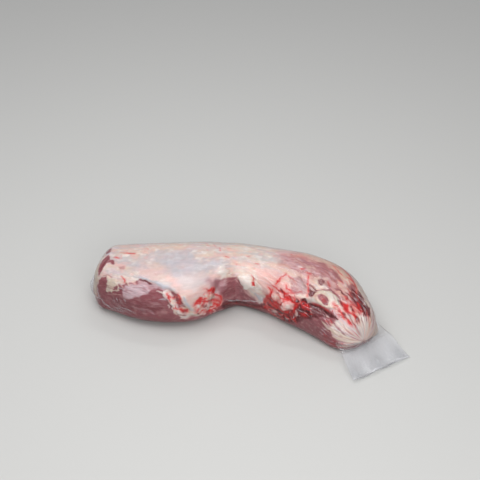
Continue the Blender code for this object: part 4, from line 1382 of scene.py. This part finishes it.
class TENDERLOIN_OT_film(bpy.types.Operator):
    """Add the clear film over the meat, with its wrinkles, its seal and its flap"""

    bl_idname = "tenderloin.add_film"
    bl_label = "Add film"

    def execute(self, context):
        settings = context.scene.tenderloin.film
        if MEAT_NAME not in bpy.data.objects:
            raise RuntimeError("the film goes on after the meat")
        meat = meat_grid(MEAT_SPACING)
        relief = np.empty(meat.s.size + 2)
        bpy.data.objects[MEAT_NAME].data.attributes["relief"].data.foreach_get("value", relief)
        grid = film_grid(FILM_SPACING)
        painter = FilmPainter(grid, settings.seed)
        photo = Photo()
        for crease in CREASES:
            path = photo.path(crease.points)
            painter.line(path, "milk", crease.milk, crease.width, CREASE_RAGGED, crease.rise)
        for ruck in RUCKS:
            painter.strands(photo.path(ruck.outline), "milk", *ruck[:-1])
        under = carried(relief[:-2].reshape(meat.s.shape), meat, grid)
        bridged = np.maximum(under, smoothed(under, BRIDGED))
        past = grid.s - MEAT_LENGTH
        flap = ease(past / FLAP_FADE)
        seal = np.exp(-(((past - FLAP_REACH + SEAL_INSET) / SEAL_WIDTH) ** 2))
        cut = ease((past - FLAP_REACH + CUT_EDGE) / CUT_FADE)
        head = ease((HEAD_EDGE - grid.s - SEAL_REACH) / HEAD_FADE)
        # Milkiness of flap and seal, and painted highlights along the cut edge and the seal round the
        # head.
        edges = [FLAP_MILK * flap, SEAL_MILK * seal, CUT_GLINT * cut, HEAD_GLINT * head]
        milk = np.maximum.reduce([painter.milk, *edges])
        wrinkled = settings.wrinkles * painter.height * MM
        on_meat = bridged * MM + wrinkled - MEAT_DEPTH + settings.gap
        points = grid.raised(np.where(flap > 0.5, wrinkled, on_meat))
        features = {"milk": settings.milk * milk, "round_it": painter.round_it * MM}
        piece = skin_mesh(FILM_NAME, points, features)
        piece.data.materials.append(film_material(settings))
        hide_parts(NODE)
        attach(piece, "root")
        return {"FINISHED"}


class TENDERLOIN_OT_stage(bpy.types.Operator):
    """Add a floor, soft lights, a pale room and the photograph's camera"""

    bl_idname = "tenderloin.set_stage"
    bl_label = "Set stage"

    def light(self, lamp, power):
        area = bpy.data.lights.new(lamp.name, "AREA")
        area.shape = "RECTANGLE"
        area.size, area.size_y = lamp.size
        area.energy = power
        holder = bpy.data.objects.new(lamp.name, area)
        holder.location = lamp.place
        towards = Vector(lamp.target) - Vector(lamp.place)
        holder.rotation_euler = towards.to_track_quat("-Z", "Y").to_euler()
        bpy.context.collection.objects.link(holder)
        return holder

    def execute(self, context):
        settings = context.scene.tenderloin.stage
        corners = [(FLOOR_HALF * x, FLOOR_HALF * y, 0) for x, y in ((-1, -1), (1, -1), (1, 1), (-1, 1))]
        mesh = bpy.data.meshes.new("floor")
        mesh.from_pydata(corners, [], [(0, 1, 2, 3)])
        floor = bpy.data.objects.new("floor", mesh)
        floor.data.materials.append(plain_material("Pale floor", settings.floor, FLOOR_ROUGHNESS))
        bpy.context.collection.objects.link(floor)
        lights = [self.light(lamp, getattr(settings, lamp.name)) for lamp in LAMPS]
        world = bpy.data.worlds.new("Pale room")
        world.use_nodes = True
        background = world.node_tree.nodes["Background"]
        background.inputs["Color"].default_value = (*ROOM_COLOUR, 1)
        background.inputs["Strength"].default_value = settings.surroundings
        context.scene.world = world
        camera = bpy.data.objects.new("camera", bpy.data.cameras.new("camera"))
        camera.data.sensor_width = SENSOR
        camera.data.lens = PHOTO_FOCAL / PHOTO_SIDE * SENSOR
        camera.location = EYE + SHIFT
        camera.rotation_euler = (math.pi / 2 - EYE_PITCH, 0, 0)
        bpy.context.collection.objects.link(camera)
        context.scene.camera = camera
        context.scene.view_settings.view_transform = "Standard"
        return {"FINISHED"}


class TENDERLOIN_PT_panel(bpy.types.Panel):
    """The tenderloin's settings and the buttons that add it"""

    bl_label = "Tenderloin"
    bl_idname = "TENDERLOIN_PT_panel"
    bl_space_type = "VIEW_3D"
    bl_region_type = "UI"
    bl_category = "Tenderloin"

    def draw(self, context):
        operators = {"meat": TENDERLOIN_OT_meat, "film": TENDERLOIN_OT_film, "stage": TENDERLOIN_OT_stage}
        for name, operator in operators.items():
            box = self.layout.box()
            settings = getattr(context.scene.tenderloin, name)
            for field in settings.__annotations__:
                box.prop(settings, field)
            box.operator(operator.bl_idname)


CLASSES = (
    MeatSettings,
    FilmSettings,
    StageSettings,
    TenderloinSettings,
    TENDERLOIN_OT_meat,
    TENDERLOIN_OT_film,
    TENDERLOIN_OT_stage,
    TENDERLOIN_PT_panel,
)


def register():
    for cls in CLASSES:
        bpy.utils.register_class(cls)
    bpy.types.Scene.tenderloin = bpy.props.PointerProperty(type=TenderloinSettings)


def unregister():
    del bpy.types.Scene.tenderloin
    for cls in reversed(CLASSES):
        bpy.utils.unregister_class(cls)


def main():
    register()
    bpy.ops.tenderloin.add_meat()
    bpy.ops.tenderloin.add_film()
    bpy.ops.tenderloin.set_stage()


if __name__ == "__main__":
    main()
